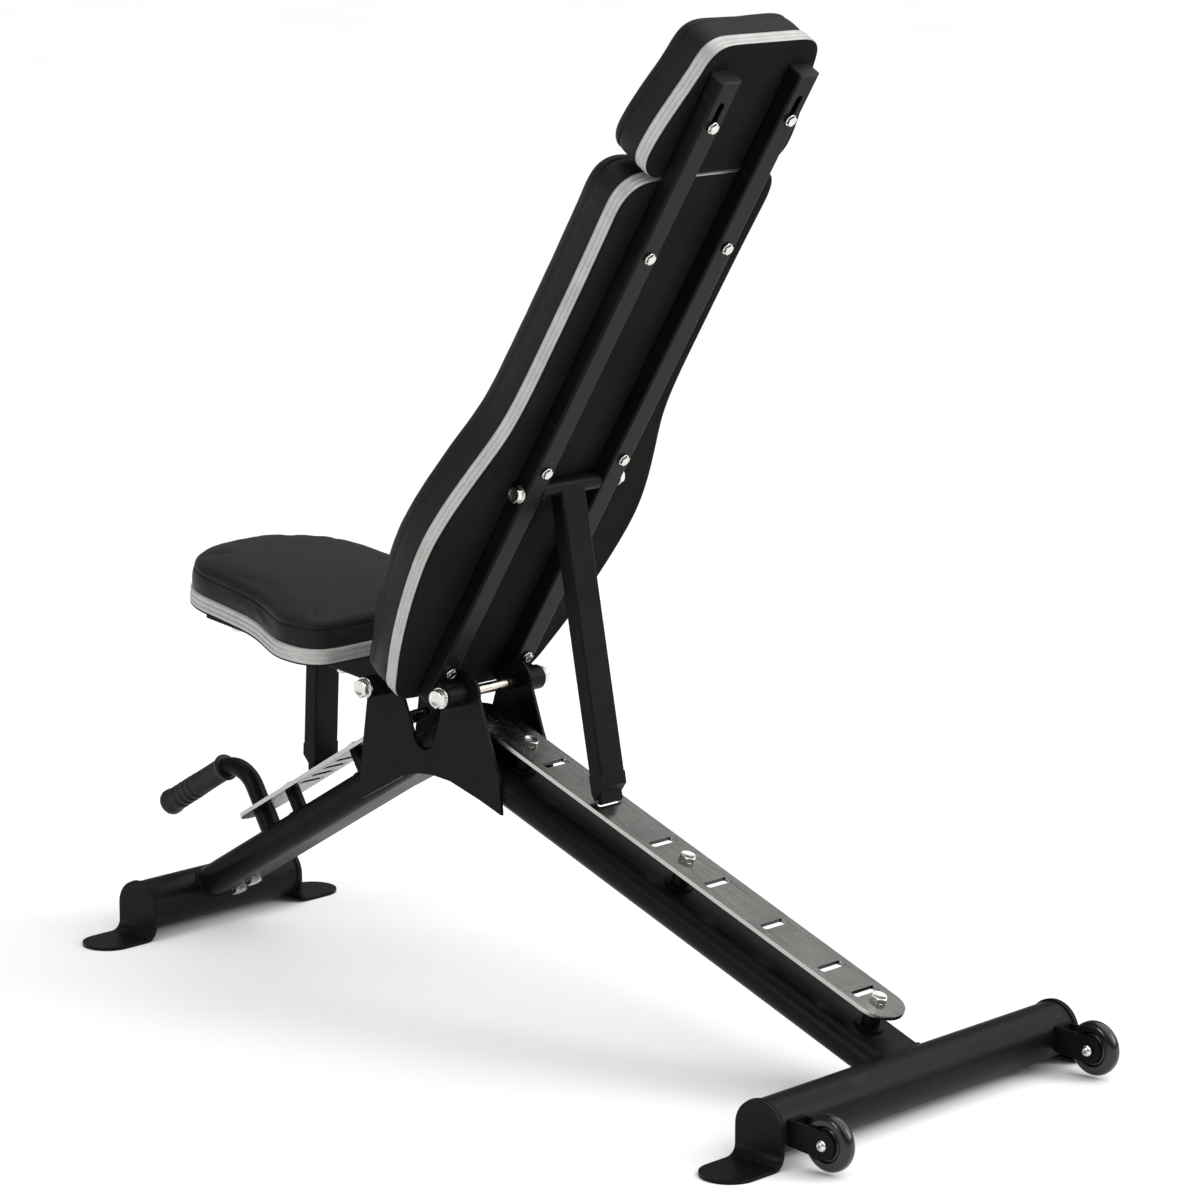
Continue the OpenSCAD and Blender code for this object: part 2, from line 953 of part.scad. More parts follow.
module back_foam() {
  color("#c8c2a8") back_frame() foam(back_half, rail_front + board_t, pad_t, back_mid);
}

module back_cover() {
  color("#101010") back_frame() cover(back_half, rail_front + board_t, pad_t, back_mid);
}

// A thin band round the board's edge
module trim_band(half, z, mid) {
  difference() {
    slab(half, z, z + board_t, 0, mid);
    slab(half, z - 1, z + board_t + 1, band_t, mid);
  }
}

module back_trim() {
  color("#cfcfcf")
    back_frame()
      trim_band(back_half, rail_front, back_mid);
}

// Hex bolts through both rails, with their heads on the rails' rear faces
module rail_bolts(places) {
  for (side = [-1, 1], t = places)
    translate([side * rail_x, t, rail_back])
      mirror([0, 0, 1]) {
        cylinder(h = 1.4, d = 17);
        translate([0, 0, 1.4])
          hex_bolt(m8_head_af, m8_head_h, m8_r, rail_d + board_t - 1);
      }
}

module back_pad_bolts() {
  color("#d4d4d2") back_frame() rail_bolts(back_bolts_at);
}

module back_prop_bolt() {
  face = rail_x + rail_w / 2 + 2;
  color("#d4d4d2")
    prop_frame(back_hinge, 0) {
      through_bolt(face, prop_pin_d, m10_head_af, m10_head_h, 8);
      for (side = [0, 1])
        mirror([side, 0, 0])
          x_rod(face - 2, face, 21);
    }
}

// --- Headrest ---

module head_board() {
  color("#171513")
    back_frame()
      difference() {
        slab(head_half, head_z, head_z + board_t, band_t, head_mid);
        board_holes([head_bolt_at], head_z);
      }
}

module head_foam() {
  color("#c8c2a8") back_frame() foam(head_half, head_z + board_t, pad_t, head_mid);
}

module head_cover() {
  color("#101010") back_frame() cover(head_half, head_z + board_t, pad_t, head_mid);
}

module head_trim() {
  color("#cfcfcf") back_frame() trim_band(head_half, head_z, head_mid);
}

module head_bolts() {
  color("#d4d4d2")
    back_frame()
      translate([0, 0, -board_gap])
        rail_bolts([head_bolt_at]);
}

// --- Props ---

module prop_tube(len) {
  rotate([180, 0, 0])
    difference() {
      linear_extrude(len - tongue_len - 8)
        difference() {
          round_rect(prop_w, prop_d, 2.5);
          round_rect(prop_w - 2 * wall, prop_d - 2 * wall, 1);
        }
      x_rod(-prop_w, prop_w, prop_sleeve_d, 64);
    }
}

module prop_sleeve(half_len) {
  difference() {
    x_rod(-half_len, half_len, prop_sleeve_d, 64);
    x_rod(-half_len - 1, half_len + 1, prop_pin_d + 2 * running, 64);
  }
}

// Where a prop's end block starts, above the middle of the tongue's tip
block_top = tongue_len + 8;
// Half of the end block's outline as [side, height above the middle of the tip]
block_edge = [[0.5, block_top], [0.5, 16.5 / 19 * prop_d], [-0.26, 2], [-0.32, 2], [-0.42, 6.5],
  [-0.5, 11], [-0.5, block_top]];

// An end block bevelled on one side, with a tongue that has a rounded tip
module prop_tongue(len, side) {
  translate([0, 0, -len]) {
    x_rod(-tongue_w / 2, tongue_w / 2, tongue_t);
    translate([-tongue_w / 2, -tongue_t / 2, 0])
      cube([tongue_w, tongue_t, 12]);
    translate([-prop_w / 2, 0, 0])
      rotate([90, 0, 90])
        linear_extrude(prop_w)
          polygon([for (p = block_edge) [side * p[0] * prop_d, p[1]]]);
  }
}

module back_prop_tube() {
  color("#1c1c1c") prop_frame(back_hinge, back_prop_lean) prop_tube(back_prop_len);
}

module back_prop_sleeve() {
  color("#1c1c1c") prop_frame(back_hinge, back_prop_lean) prop_sleeve(rail_x - rail_w / 2 - bush_gap);
}

module back_prop_tongue() {
  color("#121212") prop_frame(back_hinge, back_prop_lean) prop_tongue(back_prop_len, 1);
}

module seat_prop_tube() {
  color("#1c1c1c") prop_frame(seat_hinge, seat_prop_lean) prop_tube(seat_prop_len);
}

module seat_prop_sleeve() {
  color("#1c1c1c")
    prop_frame(seat_hinge, seat_prop_lean)
      prop_sleeve(seat_rail_x - seat_rail_w / 2 - bush_gap);
}

module seat_prop_tongue() {
  color("#121212") prop_frame(seat_hinge, seat_prop_lean) prop_tongue(seat_prop_len, -1);
}

// --- Seat ---

module seat_rail() {
  difference() {
    union() {
      translate([seat_rail_x, 0, seat_rail_low])
        rail_tube(seat_rail_w, seat_rail_d, seat_rail_front, seat_rail_rear);
      x_rod(bush_in, bush_out, seat_bush_d, 64);
    }
    pin_hole(0, 2 * seat_rail_x, pivot_d + 2 * running);
    translate([0, seat_prop_at, seat_rail_low + seat_rail_d / 2])
      pin_hole(0, 2 * seat_rail_x, prop_pin_d + 2 * hole_play);
    for (t = seat_bolts_at)
      translate([seat_rail_x, t, -1])
        cylinder(h = 60, r = m8_r + hole_play);
  }
}

module seat_rail_left() {
  color("#1d1d1d") seat_frame() seat_rail();
}

module seat_rail_right() {
  color("#1d1d1d") seat_frame() mirror([1, 0, 0]) seat_rail();
}

module seat_rail_caps() {
  color("#141414")
    seat_frame()
      end_caps(seat_rail_x, seat_rail_w, seat_rail_d, seat_rail_low, [[seat_rail_front, -1]]);
}

module seat_board() {
  color("#171513")
    seat_frame()
      difference() {
        slab(seat_half, seat_rail_top, seat_rail_top + board_t, band_t, seat_mid);
        for (side = [-1, 1], t = seat_bolts_at)
          translate([side * seat_rail_x, t, seat_rail_top - 1])
            cylinder(h = board_t + 2, r = m8_r + hole_play);
      }
}

module seat_foam() {
  color("#c8c2a8") seat_frame() foam(seat_half, seat_rail_top + board_t, seat_pad_t, seat_mid);
}

module seat_cover() {
  color("#101010") seat_frame() cover(seat_half, seat_rail_top + board_t, seat_pad_t, seat_mid);
}

module seat_trim() {
  color("#cfcfcf") seat_frame() trim_band(seat_half, seat_rail_top, seat_mid);
}

module seat_pad_bolts() {
  color("#d4d4d2")
    seat_frame()
      for (side = [-1, 1], t = seat_bolts_at)
        translate([side * seat_rail_x, t, seat_rail_low])
          mirror([0, 0, 1])
            hex_bolt(m8_head_af, m8_head_h, m8_r, seat_rail_d + board_t - 1);
}

module seat_prop_bolt() {
  face = seat_rail_x + seat_rail_w / 2 + 2;
  color("#d4d4d2")
    prop_frame(seat_hinge, 0) {
      through_bolt(face, prop_pin_d, m10_head_af, m10_head_h, 8);
      for (side = [0, 1])
        mirror([side, 0, 0])
          x_rod(face - 2, face, 21);
    }
}
front_cross_tube();
rear_cross_tube();
front_foot_left();
front_foot_right();
rear_foot_left();
rear_foot_right();
front_main_tube();
rear_main_tube();
pivot_plate_left();
pivot_plate_right();
rear_ladder();
front_ladder();
rear_ladder_posts();
front_ladder_posts();
rear_ladder_bolts();
front_ladder_bolts();
front_joint_bolts();
handle_tube();
handle_grip();
wheel_fork_left();
wheel_fork_right();
wheel_axles();
wheel_left();
wheel_right();
wheel_bush_left();
wheel_bush_right();
back_pivot_bolt();
seat_pivot_bolt();
pivot_washers();
pivot_spacers();
back_rail_left();
back_rail_right();
back_rail_caps();
back_board();
back_foam();
back_cover();
back_trim();
back_pad_bolts();
back_prop_bolt();
head_board();
head_foam();
head_cover();
head_trim();
head_bolts();
back_prop_tube();
back_prop_sleeve();
back_prop_tongue();
seat_rail_left();
seat_rail_right();
seat_rail_caps();
seat_board();
seat_foam();
seat_cover();
seat_trim();
seat_pad_bolts();
seat_prop_bolt();
seat_prop_tube();
seat_prop_sleeve();
seat_prop_tongue();
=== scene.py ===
"""Looks of an adjustable weight bench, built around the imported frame.

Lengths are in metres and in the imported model's own frame. Sizes of small details are written
in millimetres times MM. The camera comes first, then materials, upholstery, hardware, welds,
and last the floor and the lights.
"""

import json
import math

import bmesh
import bpy
import numpy as np
from mathutils import Matrix, Vector, noise
from mathutils.geometry import delaunay_2d_cdt


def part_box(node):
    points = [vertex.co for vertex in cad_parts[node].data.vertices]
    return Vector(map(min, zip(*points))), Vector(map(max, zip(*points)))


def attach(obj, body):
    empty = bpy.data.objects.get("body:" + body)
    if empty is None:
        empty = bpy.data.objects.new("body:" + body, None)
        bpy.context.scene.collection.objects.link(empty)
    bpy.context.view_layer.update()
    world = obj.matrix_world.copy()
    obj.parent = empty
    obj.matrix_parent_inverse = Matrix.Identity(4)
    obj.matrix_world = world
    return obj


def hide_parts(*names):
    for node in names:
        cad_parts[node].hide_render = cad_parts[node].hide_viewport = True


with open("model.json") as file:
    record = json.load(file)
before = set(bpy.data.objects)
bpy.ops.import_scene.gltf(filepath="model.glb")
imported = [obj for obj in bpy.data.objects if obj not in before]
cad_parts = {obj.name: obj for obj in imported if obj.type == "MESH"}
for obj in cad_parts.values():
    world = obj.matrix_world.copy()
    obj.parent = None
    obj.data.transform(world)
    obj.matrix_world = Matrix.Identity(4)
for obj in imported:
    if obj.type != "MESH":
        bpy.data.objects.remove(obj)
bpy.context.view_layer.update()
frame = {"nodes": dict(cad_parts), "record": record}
MM = 0.001
NODES = frame["nodes"]


# --- Camera ---

# Place in metres, direction and downward tilt in degrees, lens in millimetres
CAMERA_PLACE = (3.4307, 3.3165, 1.4327)
CAMERA_AZIMUTH = 133.25
CAMERA_PITCH = 11.412
CAMERA_LENS = 131.8


def make_camera():
    data = bpy.data.cameras.new("camera")
    data.lens = CAMERA_LENS
    data.sensor_width = 36.0
    data.clip_end = 100.0
    camera = bpy.data.objects.new("camera", data)
    camera.location = CAMERA_PLACE
    camera.rotation_euler = (math.radians(90 - CAMERA_PITCH), 0, math.radians(CAMERA_AZIMUTH))
    bpy.context.scene.collection.objects.link(camera)
    bpy.context.scene.camera = camera


make_camera()


# --- Materials ---


class Shader:
    """A node tree with a Principled shader, and short ways to add texture nodes to it."""

    def __init__(self, name, **sockets):
        self.material = bpy.data.materials.new(name)
        self.material.use_nodes = True
        self.tree = self.material.node_tree
        self.shader = self.tree.nodes["Principled BSDF"]
        for socket, value in sockets.items():
            self.shader.inputs[socket.replace("_", " ")].default_value = value

    def add(self, kind, inputs=None, **settings):
        node = self.tree.nodes.new(kind)
        for key, value in settings.items():
            setattr(node, key, value)
        for key, value in (inputs or {}).items():
            if isinstance(value, bpy.types.NodeSocket):
                self.tree.links.new(value, node.inputs[key])
            else:
                node.inputs[key].default_value = value
        return node

    def place(self, scale=(1, 1, 1), turn=0.0):
        """Object coordinates, first turned about X by turn degrees and then stretched."""
        source = self.add("ShaderNodeTexCoord").outputs["Object"]
        turned = self.add("ShaderNodeMapping", {"Vector": source,
                                                "Rotation": (math.radians(turn), 0, 0)})
        stretched = self.add("ShaderNodeMapping", {"Vector": turned.outputs[0], "Scale": scale})
        return stretched.outputs[0]

    def noise(self, vector, scale, detail=4.0, rough=0.55):
        node = self.add("ShaderNodeTexNoise", {"Vector": vector, "Scale": scale,
                                               "Detail": detail, "Roughness": rough})
        return node.outputs["Fac"]

    def ramp(self, value, low, high, to_low=0.0, to_high=1.0):
        node = self.add("ShaderNodeMapRange", {"Value": value, "From Min": low, "From Max": high,
                                               "To Min": to_low, "To Max": to_high})
        return node.outputs["Result"]

    def math(self, operation, a, b=0.0):
        node = self.add("ShaderNodeMath", {0: a, 1: b}, operation=operation)
        return node.outputs[0]

    def mix(self, factor, a, b):
        node = self.add("ShaderNodeMix", data_type="RGBA")
        self.tree.links.new(factor, node.inputs[0])
        for socket, value in ((6, a), (7, b)):
            if isinstance(value, bpy.types.NodeSocket):
                self.tree.links.new(value, node.inputs[socket])
            else:
                node.inputs[socket].default_value = (*value, 1)
        return node.outputs[2]

    def colour(self, value):
        self.tree.links.new(value, self.shader.inputs["Base Color"])

    def rough(self, value):
        self.tree.links.new(value, self.shader.inputs["Roughness"])

    def bump(self, *layers):
        """Each layer is a height value and how deep it is, in metres."""
        normal = None
        for height, depth in layers:
            inputs = {"Height": height, "Distance": depth, "Strength": 1.0}
            if normal is not None:
                inputs["Normal"] = normal
            normal = self.add("ShaderNodeBump", inputs).outputs[0]
        self.tree.links.new(normal, self.shader.inputs["Normal"])


def powder_coat():
    """Satin black powder coat with orange peel, a little dust and fine rubs."""
    s = Shader("powder_coat", Specular_IOR_Level=0.08)
    at = s.place()
    cloud = s.noise(at, 9, 5)
    dust = s.ramp(s.noise(at, 260, 3), 0.55, 0.8)
    rub = s.ramp(s.noise(s.place((30, 30, 420), 35), 1.0, 3), 0.62, 0.72)
    tone = s.mix(s.ramp(cloud, 0.35, 0.7), (0.0036, 0.0036, 0.0037), (0.0066, 0.0064, 0.0062))
    tone = s.mix(s.math("MULTIPLY", dust, 0.2), tone, (0.03, 0.029, 0.028))
    s.colour(s.mix(s.math("MULTIPLY", rub, 0.12), tone, (0.045, 0.045, 0.045)))
    s.rough(s.math("ADD", s.ramp(cloud, 0.3, 0.75, 0.30, 0.40), s.math("MULTIPLY", dust, 0.12)))
    s.bump((s.noise(at, 520, 2), 0.00016), (s.noise(at, 2400, 2), 0.00003))
    return s.material


def mill_steel(name, slope):
    """Dark rolled plate with streaks, dull spots and scratches, a painted highlight on the sheared
    edges and painted shade on the punched slot walls.
    """
    s = Shader(name, Metallic=1.0)
    turn = -slope
    streak = s.noise(s.place((420, 9, 60), turn), 1.0, 5, 0.65)
    stain = s.noise(s.place((1, 1, 1), turn), 17, 5)
    fleck = s.ramp(s.noise(s.place((1, 1, 1), turn), 190, 4), 0.58, 0.68)
    scratch = s.ramp(s.noise(s.place((900, 34, 34), turn + 8), 1.0, 2), 0.66, 0.7)
    tone = s.mix(s.ramp(streak, 0.3, 0.7), (0.150, 0.148, 0.140), (0.200, 0.197, 0.187))
    tone = s.mix(s.math("MULTIPLY", s.ramp(stain, 0.45, 0.72), 0.6), tone, (0.115, 0.112, 0.105))
    tone = s.mix(s.math("MULTIPLY", fleck, 0.18), tone, (0.28, 0.27, 0.26))
    along = (0, math.cos(math.radians(slope)), math.sin(math.radians(slope)))
    normal = s.add("ShaderNodeNewGeometry").outputs["True Normal"]
    sides = []
    for axis in ((1, 0, 0), along):
        dot = s.add("ShaderNodeVectorMath", {0: normal, 1: axis}, operation="DOT_PRODUCT")
        sides.append(s.ramp(s.math("ABSOLUTE", dot.outputs["Value"]), 0.5, 0.9))
    sheared_painted_highlight, punched_painted_shade = sides
    # Painted highlight: the faces square to X, the sheared edges, are lightened towards pale steel
    tone = s.mix(s.math("MULTIPLY", sheared_painted_highlight, 0.75), tone, (0.62, 0.61, 0.58))
    # Painted shade: the faces square to the ladder's length, the punched slot walls, are darkened
    # nearly to black
    s.colour(s.mix(s.math("MULTIPLY", punched_painted_shade, 0.85), tone, (0.022, 0.021, 0.020)))
    rough = s.math("ADD", s.ramp(streak, 0.3, 0.75, 0.20, 0.32), s.math("MULTIPLY", fleck, 0.12))
    rough = s.math("ADD", rough, s.math("MULTIPLY", sheared_painted_highlight, 0.1))
    s.rough(s.math("SUBTRACT", rough, s.math("MULTIPLY", scratch, 0.08)))
    s.bump((streak, 0.00004), (s.math("MULTIPLY", scratch, -1.0), 0.00004), (stain, 0.0003))
    return s.material


def zinc_plate(name, dull, bright):
    """Bright zinc with handling marks and a slightly uneven skin, between two tones."""
    s = Shader(name, Metallic=1.0)
    at = s.place()
    cloud = s.noise(at, 160, 4)
    spot = s.ramp(s.noise(at, 700, 3), 0.58, 0.7)
    tone = s.mix(s.ramp(cloud, 0.3, 0.7), dull, bright)
    s.colour(s.mix(s.math("MULTIPLY", spot, 0.35), tone, (0.45, 0.44, 0.41)))
    s.rough(s.ramp(cloud, 0.3, 0.7, 0.16, 0.30))
    s.bump((cloud, 0.0001), (s.noise(at, 1800, 2), 0.00003))
    return s.material


def faux_leather():
    """Black vinyl with a fine pebble grain, painted shade in the grain's crevices, soft creases
    and a mild sheen.
    """
    s = Shader("faux_leather", Specular_IOR_Level=0.15, Sheen_Weight=0.035, Sheen_Roughness=0.4)
    at = s.place()
    cells = s.add("ShaderNodeTexVoronoi", {"Vector": at, "Scale": 950.0},
                  feature="DISTANCE_TO_EDGE").outputs["Distance"]
    grain = s.ramp(cells, 0.0, 0.22)
    cloud = s.noise(at, 11, 4)
    crease = s.add("ShaderNodeTexNoise", {"Vector": s.place(), "Scale": 26.0, "Detail": 3.0,
                                          "Distortion": 1.6}).outputs["Fac"]
    tone = s.mix(s.ramp(cloud, 0.3, 0.7), (0.0068, 0.0068, 0.0071), (0.0115, 0.0115, 0.0118))
    # Painted shade: darker in the crevices between the grain's pebbles, where the bump is low
    s.colour(s.mix(s.math("MULTIPLY", s.math("SUBTRACT", 1.0, grain), 0.5), tone,
                   (0.0035, 0.0035, 0.0035)))
    s.rough(s.math("ADD", s.ramp(cloud, 0.3, 0.7, 0.38, 0.48), s.math("MULTIPLY", grain, 0.05)))
    s.bump((crease, 0.0016), (grain, 0.00013), (s.noise(at, 3200, 2), 0.00002))
    return s.material


def silver_braid():
    """Silver-grey woven tape, with a fine cross rib and painted shade in its hollows."""
    s = Shader("silver_braid", Specular_IOR_Level=0.6, Sheen_Weight=0.25, Sheen_Roughness=0.35,
               Metallic=0.25)
    at = s.place()
    weave = s.add("ShaderNodeTexVoronoi", {"Vector": at, "Scale": 1300.0}).outputs["Distance"]
    cloud = s.noise(at, 40, 4)
    tone = s.mix(s.ramp(cloud, 0.3, 0.7), (0.40, 0.395, 0.38), (0.54, 0.535, 0.52))
    # Painted shade: darker in the hollows of the weave, where the bump is low
    s.colour(s.mix(s.ramp(weave, 0.35, 0.75, 0.0, 0.5), tone, (0.24, 0.235, 0.225)))
    s.rough(s.ramp(cloud, 0.3, 0.7, 0.36, 0.48))
    s.bump((s.math("SUBTRACT", 1.0, weave), 0.00012), (s.noise(at, 2600, 2), 0.00004))
    return s.material


def dust_cloth():
    """Black non-woven cloth over the boards, with a brown cast and matted fibres."""
    s = Shader("dust_cloth", Sheen_Weight=0.012, Sheen_Roughness=0.6, Specular_IOR_Level=0.06)
    at = s.place()
    fibre = s.add("ShaderNodeTexNoise", {"Vector": at, "Scale": 1500.0, "Detail": 5.0,
                                         "Distortion": 2.5}).outputs["Fac"]
    cloud = s.noise(at, 14, 5)
    tone = s.mix(s.ramp(cloud, 0.3, 0.72), (0.0040, 0.0036, 0.0032), (0.0085, 0.0074, 0.0064))
    s.colour(s.mix(s.ramp(fibre, 0.55, 0.75, 0.0, 0.35), tone, (0.018, 0.016, 0.014)))
    s.rough(s.ramp(fibre, 0.3, 0.7, 0.82, 0.96))
    s.bump((fibre, 0.0002), (s.noise(at, 60, 3), 0.0006))
    return s.material


def black_rubber():
    s = Shader("black_rubber", Specular_IOR_Level=0.25)
    at = s.place()
    cloud = s.noise(at, 60, 4)
    s.colour(s.mix(s.ramp(cloud, 0.3, 0.7), (0.0070, 0.0070, 0.0070), (0.0130, 0.0127, 0.0124)))
    s.rough(s.ramp(cloud, 0.3, 0.7, 0.46, 0.6))
    s.bump((s.noise(at, 1500, 3), 0.00008), (s.noise(at, 220, 2), 0.00012))
    return s.material


def wheel_plastic():
    """Glossy black plastic that is scuffed a little by the floor."""
    s = Shader("wheel_plastic", Specular_IOR_Level=0.42, Coat_Weight=0.15, Coat_Roughness=0.12)
    at = s.place()
    cloud = s.noise(at, 90, 4)
    scuff = s.ramp(s.noise(s.place((60, 900, 900)), 1.0, 3), 0.58, 0.7)
    s.colour(s.mix(s.math("MULTIPLY", scuff, 0.3), (0.0050, 0.0050, 0.0053),
                   (0.020, 0.0195, 0.019)))
    s.rough(s.math("ADD", s.ramp(cloud, 0.3, 0.7, 0.14, 0.24), s.math("MULTIPLY", scuff, 0.2)))
    s.bump((scuff, 0.00002), (cloud, 0.00008))
    return s.material


def cap_plastic():
    s = Shader("cap_plastic", Specular_IOR_Level=0.25)
    at = s.place()
    grain = s.noise(at, 1900, 3)
    s.colour(s.mix(s.ramp(s.noise(at, 50, 3), 0.3, 0.7), (0.0055, 0.0055, 0.0055),
                   (0.0105, 0.0105, 0.0105)))
    s.rough(s.ramp(grain, 0.3, 0.7, 0.48, 0.6))
    s.bump((grain, 0.00009))
    return s.material


def worn_steel():
    """Grey steel for the wheel bushes."""
    s = Shader("worn_steel", Metallic=1.0)
    at = s.place()
    cloud = s.noise(at, 200, 4)
    s.colour(s.mix(s.ramp(cloud, 0.3, 0.7), (0.30, 0.29, 0.26), (0.5, 0.49, 0.46)))
    s.rough(s.ramp(cloud, 0.3, 0.7, 0.3, 0.45))
    s.bump((cloud, 0.0001))
    return s.material


def upholstery_foam():
    s = Shader("upholstery_foam", Roughness=0.95)
    at = s.place()
    pore = s.add("ShaderNodeTexVoronoi", {"Vector": at, "Scale": 800.0}).outputs["Distance"]
    # Painted shade: darker in the hollows of the pores, where the bump is low
    s.colour(s.mix(s.ramp(pore, 0.1, 0.7), (0.45, 0.42, 0.33), (0.75, 0.71, 0.58)))
    s.bump((pore, 0.0004))
    return s.material


def thread(name, tone):
    """Twisted sewing thread."""
    s = Shader(name, Roughness=0.6, Sheen_Weight=0.2)
    twist = s.noise(s.place(), 2600, 2)
    s.colour(s.mix(s.ramp(twist, 0.35, 0.65), tuple(0.6 * c for c in tone), tone))
    s.bump((twist, 0.00006))
    return s.material


# Slopes of the main tubes and ladders, in degrees
FRONT_SLOPE = 30.9
REAR_SLOPE = -20.9
PAINT = powder_coat()
ZINC = zinc_plate("zinc_plate", (0.60, 0.59, 0.55), (0.76, 0.76, 0.74))
YELLOW_ZINC = zinc_plate("yellow_zinc", (0.58, 0.53, 0.41), (0.72, 0.68, 0.58))
LEATHER = faux_leather()
BRAID = silver_braid()
CLOTH = dust_cloth()
RUBBER = black_rubber()
CAP = cap_plastic()
SLOT_MATERIALS = {
    "frame_paint": PAINT,
    "ladder_steel": mill_steel("rear_ladder_steel", REAR_SLOPE),
    "zinc": ZINC,
    "grip_rubber": RUBBER,
    "wheel_plastic": wheel_plastic(),
    "bush_steel": worn_steel(),
    "cap_plastic": CAP,
    "board": CLOTH,
    "foam": upholstery_foam(),
    "cover": LEATHER,
    "trim": BRAID,
}
SILVER_THREAD = thread("silver_thread", (0.72, 0.72, 0.71))
BLACK_THREAD = thread("black_thread", (0.03, 0.03, 0.03))


def dress(obj, material):
    """Gives every face of an object one material."""
    obj.data.materials.clear()
    obj.data.materials.append(material)


def dress_nodes():
    for part in frame["record"]["subparts"]:
        dress(NODES[part["node"]], SLOT_MATERIALS[part["material_slot"]])
    dress(NODES["front_ladder"], mill_steel("front_ladder_steel", FRONT_SLOPE))


dress_nodes()


# --- Mesh helpers ---


def new_piece(name, verts, faces, material, body, smooth=True):
    """A mesh object that rides on a body and wears the given material."""
    mesh = bpy.data.meshes.new(name)
    mesh.from_pydata([tuple(v) for v in verts], [], [tuple(f) for f in faces])
    mesh.validate()
    obj = bpy.data.objects.new(name, mesh)
    bpy.context.scene.collection.objects.link(obj)
    dress(obj, material)
    bm = bmesh.new()
    bm.from_mesh(mesh)
    bmesh.ops.recalc_face_normals(bm, faces=bm.faces)
    bm.to_mesh(mesh)
    bm.free()
    mesh.polygons.foreach_set("use_smooth", [smooth] * len(mesh.polygons))
    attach(obj, body)
    return obj


def auto_smooth(obj, angle=35):
    """Marks edges sharper than angle, so that flat faces stay flat."""
    mesh = obj.data
    bm = bmesh.new()
    bm.from_mesh(mesh)
    for edge in bm.edges:
        edge.smooth = len(edge.link_faces) < 2 or edge.calc_face_angle() < math.radians(angle)
    bm.to_mesh(mesh)
    bm.free()


class Parts:
    """Collects the vertices and faces of several shapes into one piece."""

    def __init__(self):
        self.verts = []
        self.faces = []

    def add(self, verts, faces):
        start = len(self.verts)
        self.verts += [tuple(v) for v in verts]
        self.faces += [tuple(i + start for i in f) for f in faces]

    def rings(self, rings, closed_start=True, closed_end=True, loop=False):
        """Skins equal rings of points, and caps the ends with one face each."""
        n = len(rings[0])
        verts = [v for ring in rings for v in ring]
        count = len(rings)
        faces = []
        for i in range(count if loop else count - 1):
            a, b = i * n, (i + 1) % count * n
            faces += [(a + k, a + (k + 1) % n, b + (k + 1) % n, b + k) for k in range(n)]
        if not loop and closed_start:
            faces.append(tuple(range(n))[::-1])
        if not loop and closed_end:
            faces.append(tuple((count - 1) * n + k for k in range(n)))
        self.add(verts, faces)


def axes_of(axis):
    """Two directions square to axis; the first stays close to level."""
    axis = Vector(axis).normalized()
    side = Vector((1, 0, 0)) if abs(axis.x) < 0.9 else Vector((0, 1, 0))
    across = (side - axis * side.dot(axis)).normalized()
    return across, axis.cross(across)


def circle_ring(centre, across, up, radius, count=32, phase=0.0):
    return [centre + (across * math.cos(a) + up * math.sin(a)) * radius
            for a in (phase + 2 * math.pi * k / count for k in range(count))]


def node_points(node):
    """A CAD node's vertices as an array, without repeats."""
    co = np.array([v.co for v in NODES[node].data.vertices])
    return np.unique(co.round(6), axis=0)


def islands(node):
    """The points of each separate solid in a CAD node."""
    bm = bmesh.new()
    bm.from_mesh(NODES[node].data)
    bmesh.ops.remove_doubles(bm, verts=bm.verts, dist=1e-6)
    seen = set()
    found = []
    for start in bm.verts:
        if start.index in seen:
            continue
        group = []
        stack = [start]
        seen.add(start.index)
        while stack:
            v = stack.pop()
            group.append(v.co.copy())
            for edge in v.link_edges:
                other = edge.other_vert(v)
                if other.index not in seen:
                    seen.add(other.index)
                    stack.append(other)
        found.append(group)
    bm.free()
    return found


# --- Pads ---


class PadSpace:
    """The local space of a pad: across (X), along its length, and out of its face."""

    def __init__(self, board):
        areas = {}
        for face in NODES[board].data.polygons:
            key = tuple(round(c, 4) for c in face.normal)
            areas[key] = areas.get(key, 0) + face.area
        widest = sorted(areas, key=areas.get)[-2:]
        out = Vector(max(widest, key=lambda n: n[2])).normalized()
        along = out.cross(Vector((1, 0, 0)))
        self.turn = Matrix(((1, 0, 0), along, out)).transposed()
        self.base = min(v.co.dot(out) for v in NODES[board].data.vertices)

    def to_local(self, points):
        local = np.array(points) @ np.array(self.turn)
        return local - np.array((0, 0, self.base))

    def to_world(self, points):
        return (np.array(points) + np.array((0, 0, self.base))) @ np.array(self.turn).T


def resample(points, count):
    """Equal steps along a closed line."""
    loop = np.vstack([points, points[:1]])
    steps = np.linalg.norm(np.diff(loop, axis=0), axis=1)
    at = np.concatenate([[0], np.cumsum(steps)])
    wanted = np.linspace(0, at[-1], count, endpoint=False)
    return np.column_stack([np.interp(wanted, at, loop[:, k]) for k in range(loop.shape[1])])


def relax(points, passes):
    """Smooths a closed line by averaging neighbours."""
    for _ in range(passes):
        points = (np.roll(points, 1, 0) + 2 * points + np.roll(points, -1, 0)) / 4
    return points


def outward(points):
    """Unit normals of a closed anticlockwise line, pointing out of it."""
    tangent = np.roll(points, -1, 0) - np.roll(points, 1, 0)
    normal = np.column_stack([tangent[:, 1], -tangent[:, 0]])
    return normal / np.linalg.norm(normal, axis=1)[:, None]


